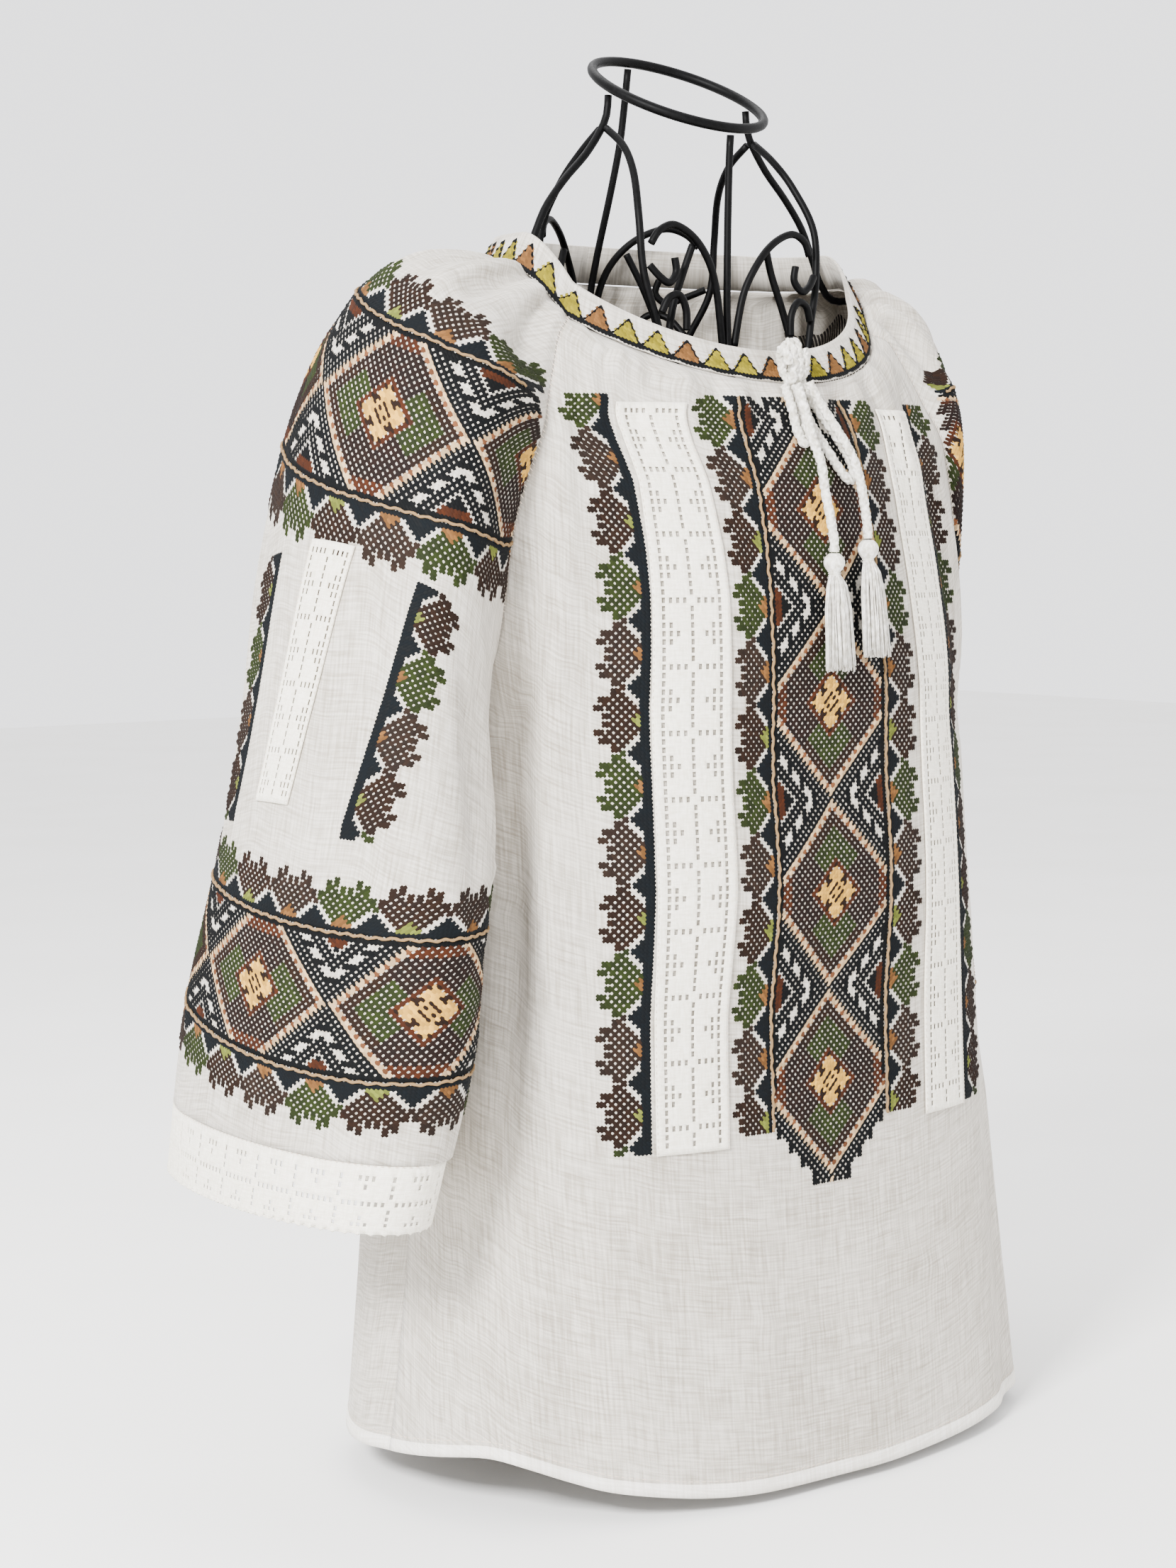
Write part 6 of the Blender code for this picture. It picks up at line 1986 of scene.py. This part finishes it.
SCROLLS = {
    "sweep": (
        (560, 90, 7800), (580, 200, 7690), (620, 340, 7520), (680, 460, 7260), (670, 490, 6950),
        (600, 520, 6680), (540, 560, 6400), (530, 660, 6150), (560, 780, 5920),
    ),
    "arch": (
        (60, 460, 6550), (100, 475, 6840), (180, 500, 7020), (300, 510, 7155), (450, 510, 7225),
        (560, 505, 7190), (615, 490, 7110),
    ),
    "hook_high": (
        (610, 520, 6990), (580, 530, 6920), (515, 535, 6890), (460, 530, 6950), (470, 530, 7035),
    ),
    "hook_low": (
        (565, 550, 6720), (535, 555, 6800), (460, 560, 6820), (410, 560, 6740), (405, 560, 6620),
    ),
    "brace": (
        (290, 465, 7120), (340, 460, 6980), (430, 465, 6760), (480, 490, 6560), (485, 530, 6400),
    ),
}
SCROLL_HOSTS = {"hook_high": "sweep", "hook_low": "sweep", "brace": "arch"}
SCROLL_REACH = {
    "front": {"sweep": 0.0034, "arch": 0.0046, "hook_high": 0.0040, "hook_low": 0.0040, "brace": 0.0040},
    "back": {"sweep": 0.0034, "arch": 0.0046, "hook_high": 0.0036, "hook_low": 0.0032, "brace": 0.0032},
}
HOOPS = {"hoop_bust": 0.445, "hoop_waist": 0.270}


@dataclass(frozen=True)
class FormSizes:
    """Sizes of the wire form, in metres, with the ring's tilt in degrees."""

    wire: float = 0.00225
    ring_wire: float = 0.0030
    weld_gap: float = 0.0003
    ring: float = 0.0535
    ring_up: float = 0.806
    ring_tilt: float = 27
    base: tuple = (0.108, 0.076)
    bar_wide: float = 0.012
    bar_thick: float = 0.003
    shoulder_drop: float = 0.00845
    arch_rise: float = 0.012
    scroll_span: float = 0.066


class WireForm:
    """The dress form, bent and welded from black-painted wire."""

    def __init__(self, paint: Material, grids: dict) -> None:
        self.paint = paint
        self.grids = grids
        self.size = FormSizes()

    def build(self) -> None:
        """Makes the ring, uprights, scrolls, hoops and base."""
        size = self.size
        tilt = math.radians(size.ring_tilt)
        turn = turns(96)
        x, y = size.ring * np.sin(turn), -size.ring * np.cos(turn)
        ring = np.stack([x, y * math.cos(tilt), size.ring_up + y * math.sin(tilt)], axis=1)
        self.add_wire("form_neck_ring", ring, size.ring_wire, closed=True)
        lines = {
            "front": smooth_route(tuple((0.0, -deep, up) for deep, up in UPRIGHT_FRONT), 120),
            "back": smooth_route(tuple((0.0, deep, up) for deep, up in UPRIGHT_BACK), 120),
        }
        for side in Side:
            lines[side.word] = smooth_route(self.side_upright(side), 160)
        for word, line in lines.items():
            self.add_wire("form_upright_" + word, line, size.wire)
        self.build_scrolls(lines)
        self.build_hoops(lines)
        self.build_base()

    def add_wire(self, name: str, line: Array, radius: float, closed: bool = False) -> None:
        """Makes a round wire along a line."""
        mesh = tube_mesh(name + "_wire", placed(line), radius, 12, closed)
        stand_in(name + "_wire", mesh, [self.paint], name)

    def side_upright(self, side: Side) -> tuple:
        """Returns the route of a side upright, which follows the sleeve's top line under the shoulder."""
        grid = self.grids[side.word]
        middle = grid.points.shape[1] // 2
        route = [(side.value * out, 0.0, up) for out, up in UPRIGHT_SIDE_TOP]
        smooth = sleeve_rows(side, 100, np.array(SHOULDER_SECTIONS))
        fine = ClothGrid(grid.outward, sleeve_rows(side, 100, np.linspace(0.5, 4.0, 60)), 27)
        rows = np.interp(SHOULDER_SECTIONS, np.linspace(0.5, 4.0, 60), np.arange(60))
        _, normals = fine.at(rows, np.full(len(rows), float(middle)))
        for point, normal in zip(smooth[:, middle], normals):
            route.append(tuple(point - normal * self.size.shoulder_drop))
        reach = abs(route[-1][0])
        route += [(side.value * out, 0.0, up) for out, up in UPRIGHT_SIDE_LOW if out < reach]
        return tuple(route)

    @staticmethod
    def beside(point: Array, line: Array, distance: float) -> Array:
        """Returns the point moved so that it stands a set distance from the nearest place on a line."""
        start, step = line[:-1], line[1:] - line[:-1]
        share = np.clip(np.sum((point - start) * step, axis=1) / np.sum(step * step, axis=1), 0, 1)
        nearest = start + step * share[:, None]
        away = point - nearest
        i = int(np.argmin(np.linalg.norm(away, axis=1)))
        return nearest[i] + unit(away[i]) * distance

    def build_scrolls(self, lines: dict) -> None:
        """Makes the scrolls, hooks and braces in the four quarters of the yoke."""
        front, back = lines["front"][::-1], lines["back"][::-1]
        for half, face in ((-1, "front"), (1, "back")):
            for side in Side:
                made = {}
                for kind, route in SCROLLS.items():
                    rise = self.size.arch_rise if half > 0 and kind == "arch" else 0.0
                    points = []
                    for out, deep, up in in_metres(route):
                        if half > 0:
                            front_deep = -np.interp(up, front[:, 2], front[:, 1])
                            back_deep = np.interp(up + rise, back[:, 2], back[:, 1])
                            near = max(0.0, 1 - (out / self.size.scroll_span) ** 2)
                            deep *= 1 + (back_deep / front_deep - 1) * near
                        points.append(np.array([side.value * out, half * deep, up + rise]))
                    host = made.get(SCROLL_HOSTS.get(kind), lines[face if kind == "arch" else side.word])
                    points[0] = self.beside(points[0], host, SCROLL_REACH[face][kind])
                    made[kind] = smooth_route(tuple(map(tuple, points)), 48)
                    self.add_wire(f"form_{kind}_{face}_{side.word}", made[kind], self.size.wire)

    def build_hoops(self, lines: dict) -> None:
        """Makes the hoops that tie the uprights together on their inner side."""
        touch = 2 * self.size.wire + self.size.weld_gap
        for name, up in HOOPS.items():
            reach = {}
            for way, axis in (("front", 1), ("back", 1), ("right", 0), ("left", 0)):
                line = lines[way][::-1]
                reach[way] = abs(np.interp(up, line[:, 2], line[:, axis])) - touch
            turn = turns(112)
            wide = np.where(np.sin(turn) > 0, reach["left"], reach["right"])
            deep = np.where(np.cos(turn) > 0, reach["front"], reach["back"])
            hoop = np.stack([wide * np.sin(turn), -deep * np.cos(turn), np.full(112, up)], axis=1)
            self.add_wire("form_" + name, hoop, self.size.wire, closed=True)

    def build_base(self) -> None:
        """Makes the flat hoop that the form stands on, with its edges bevelled."""
        size = self.size
        sections = []
        for turn in turns(128):
            way = np.array([math.sin(turn), -math.cos(turn), 0])
            middle = np.array([size.base[0] * math.sin(turn), -size.base[1] * math.cos(turn), 0])
            middle[:2] += AXIS[:2]
            inner, outer = middle - way * size.bar_wide / 2, middle + way * size.bar_wide / 2
            rise = np.array([0, 0, size.bar_thick])
            sections.append([inner, outer, outer + rise, inner + rise])
        number = np.arange(len(sections) * 4).reshape(-1, 4)
        mesh = mesh_of("form_base_hoop_bar", np.array(sections), ring_squares(number, closed=True))
        with reshaped(mesh) as shape:
            bmesh.ops.recalc_face_normals(shape, faces=shape.faces)
            edges = [e for e in shape.edges if e.calc_face_angle(0) > 1.0]
            rounding = {"offset": 0.0006, "segments": 2, "profile": 0.5, "affect": "EDGES"}
            bmesh.ops.bevel(shape, geom=edges, material=-1, **rounding)
        stand_in("form_base_hoop_bar", mesh, [self.paint], "form_base_hoop")


# The photo's camera: degrees turned to the wearer's right and down, distance from the form's axis,
# height, and its focal length and sideways shift as shares of the picture's height
CAMERA_TURN = -40
CAMERA_DOWN = 5
CAMERA_AWAY = 1.8
CAMERA_UP = 0.556
FOCAL = 3780 / 2000
CAMERA_SHIFT = (865 - 750) / 2000
# The lamps: name, place, size and power
LAMPS = (
    ("key", (-2.3, -1.1, 1.7), 0.6, 260.0),
    ("fill", (1.9, -1.3, 1.0), 1.8, 13.0),
    ("top", (0.2, 0.8, 2.3), 1.4, 30.0),
)


class Studio:
    """The floor, the lights and the camera at the photo's place."""

    def build(self) -> None:
        """Makes them all."""
        self.build_camera()
        self.build_floor()
        self.build_lights()

    def build_camera(self) -> None:
        """Sets the camera where the photo's own perspective puts it."""
        turn = math.radians(CAMERA_TURN)
        back = np.array([math.sin(turn), -math.cos(turn), 0.0])
        data = bpy.data.cameras.new("camera")
        data.sensor_fit = "VERTICAL"
        data.sensor_height = 36.0
        data.lens = FOCAL * 36
        data.shift_x = -CAMERA_SHIFT
        data.clip_start = 0.05
        camera = bpy.data.objects.new("camera", data)
        bpy.context.scene.collection.objects.link(camera)
        camera.location = Vector(back * CAMERA_AWAY + np.array([AXIS[0], AXIS[1], CAMERA_UP]))
        camera.rotation_euler = (math.radians(90 - CAMERA_DOWN), 0, turn)
        bpy.context.scene.camera = camera

    def build_floor(self) -> None:
        """Makes a plain pale floor."""
        corners = [(-6, -6, 0), (6, -6, 0), (6, 6, 0), (-6, 6, 0)]
        mesh = mesh_of("studio_floor", corners, [[0, 1, 2, 3]])
        floor = bpy.data.objects.new("studio_floor", mesh)
        mesh.materials.append(paint_material(FLOOR))
        bpy.context.scene.collection.objects.link(floor)

    def build_lights(self) -> None:
        """Makes soft lights: a large one from the front left, a weaker one from the right, one above."""
        world = bpy.data.worlds.new("studio")
        world.use_nodes = True
        sky = world.node_tree.nodes["Background"]
        sky.inputs["Color"].default_value = linear("#EDEDEF")
        sky.inputs["Strength"].default_value = 2.8
        bpy.context.scene.world = world
        for name, place, size, power in LAMPS:
            data = bpy.data.lights.new(name, "AREA")
            data.size = size
            data.energy = power
            lamp = bpy.data.objects.new(name, data)
            bpy.context.scene.collection.objects.link(lamp)
            lamp.location = Vector(place)
            aim = Vector((0.0, 0.0, 0.42)) - Vector(place)
            lamp.rotation_euler = aim.to_track_quat("-Z", "Y").to_euler()


def main() -> None:
    """Builds the whole picture on the frame."""
    logging.basicConfig(level=logging.INFO, format="%(message)s")
    grids = cloth_grids()
    Studio().build()
    Blouse(cloth_material(LINEN, "Cloth"), cloth_material(FOLDED_LINEN, "Cloth"), grids).build()
    LaceWork(cloth_material(LACE, "Cloth"), grids).build()
    NeckTie(cloth_material(CORD, None), grids["front"]).build()
    WireForm(paint_material(STEEL), grids).build()


if __name__ == "__main__":
    main()
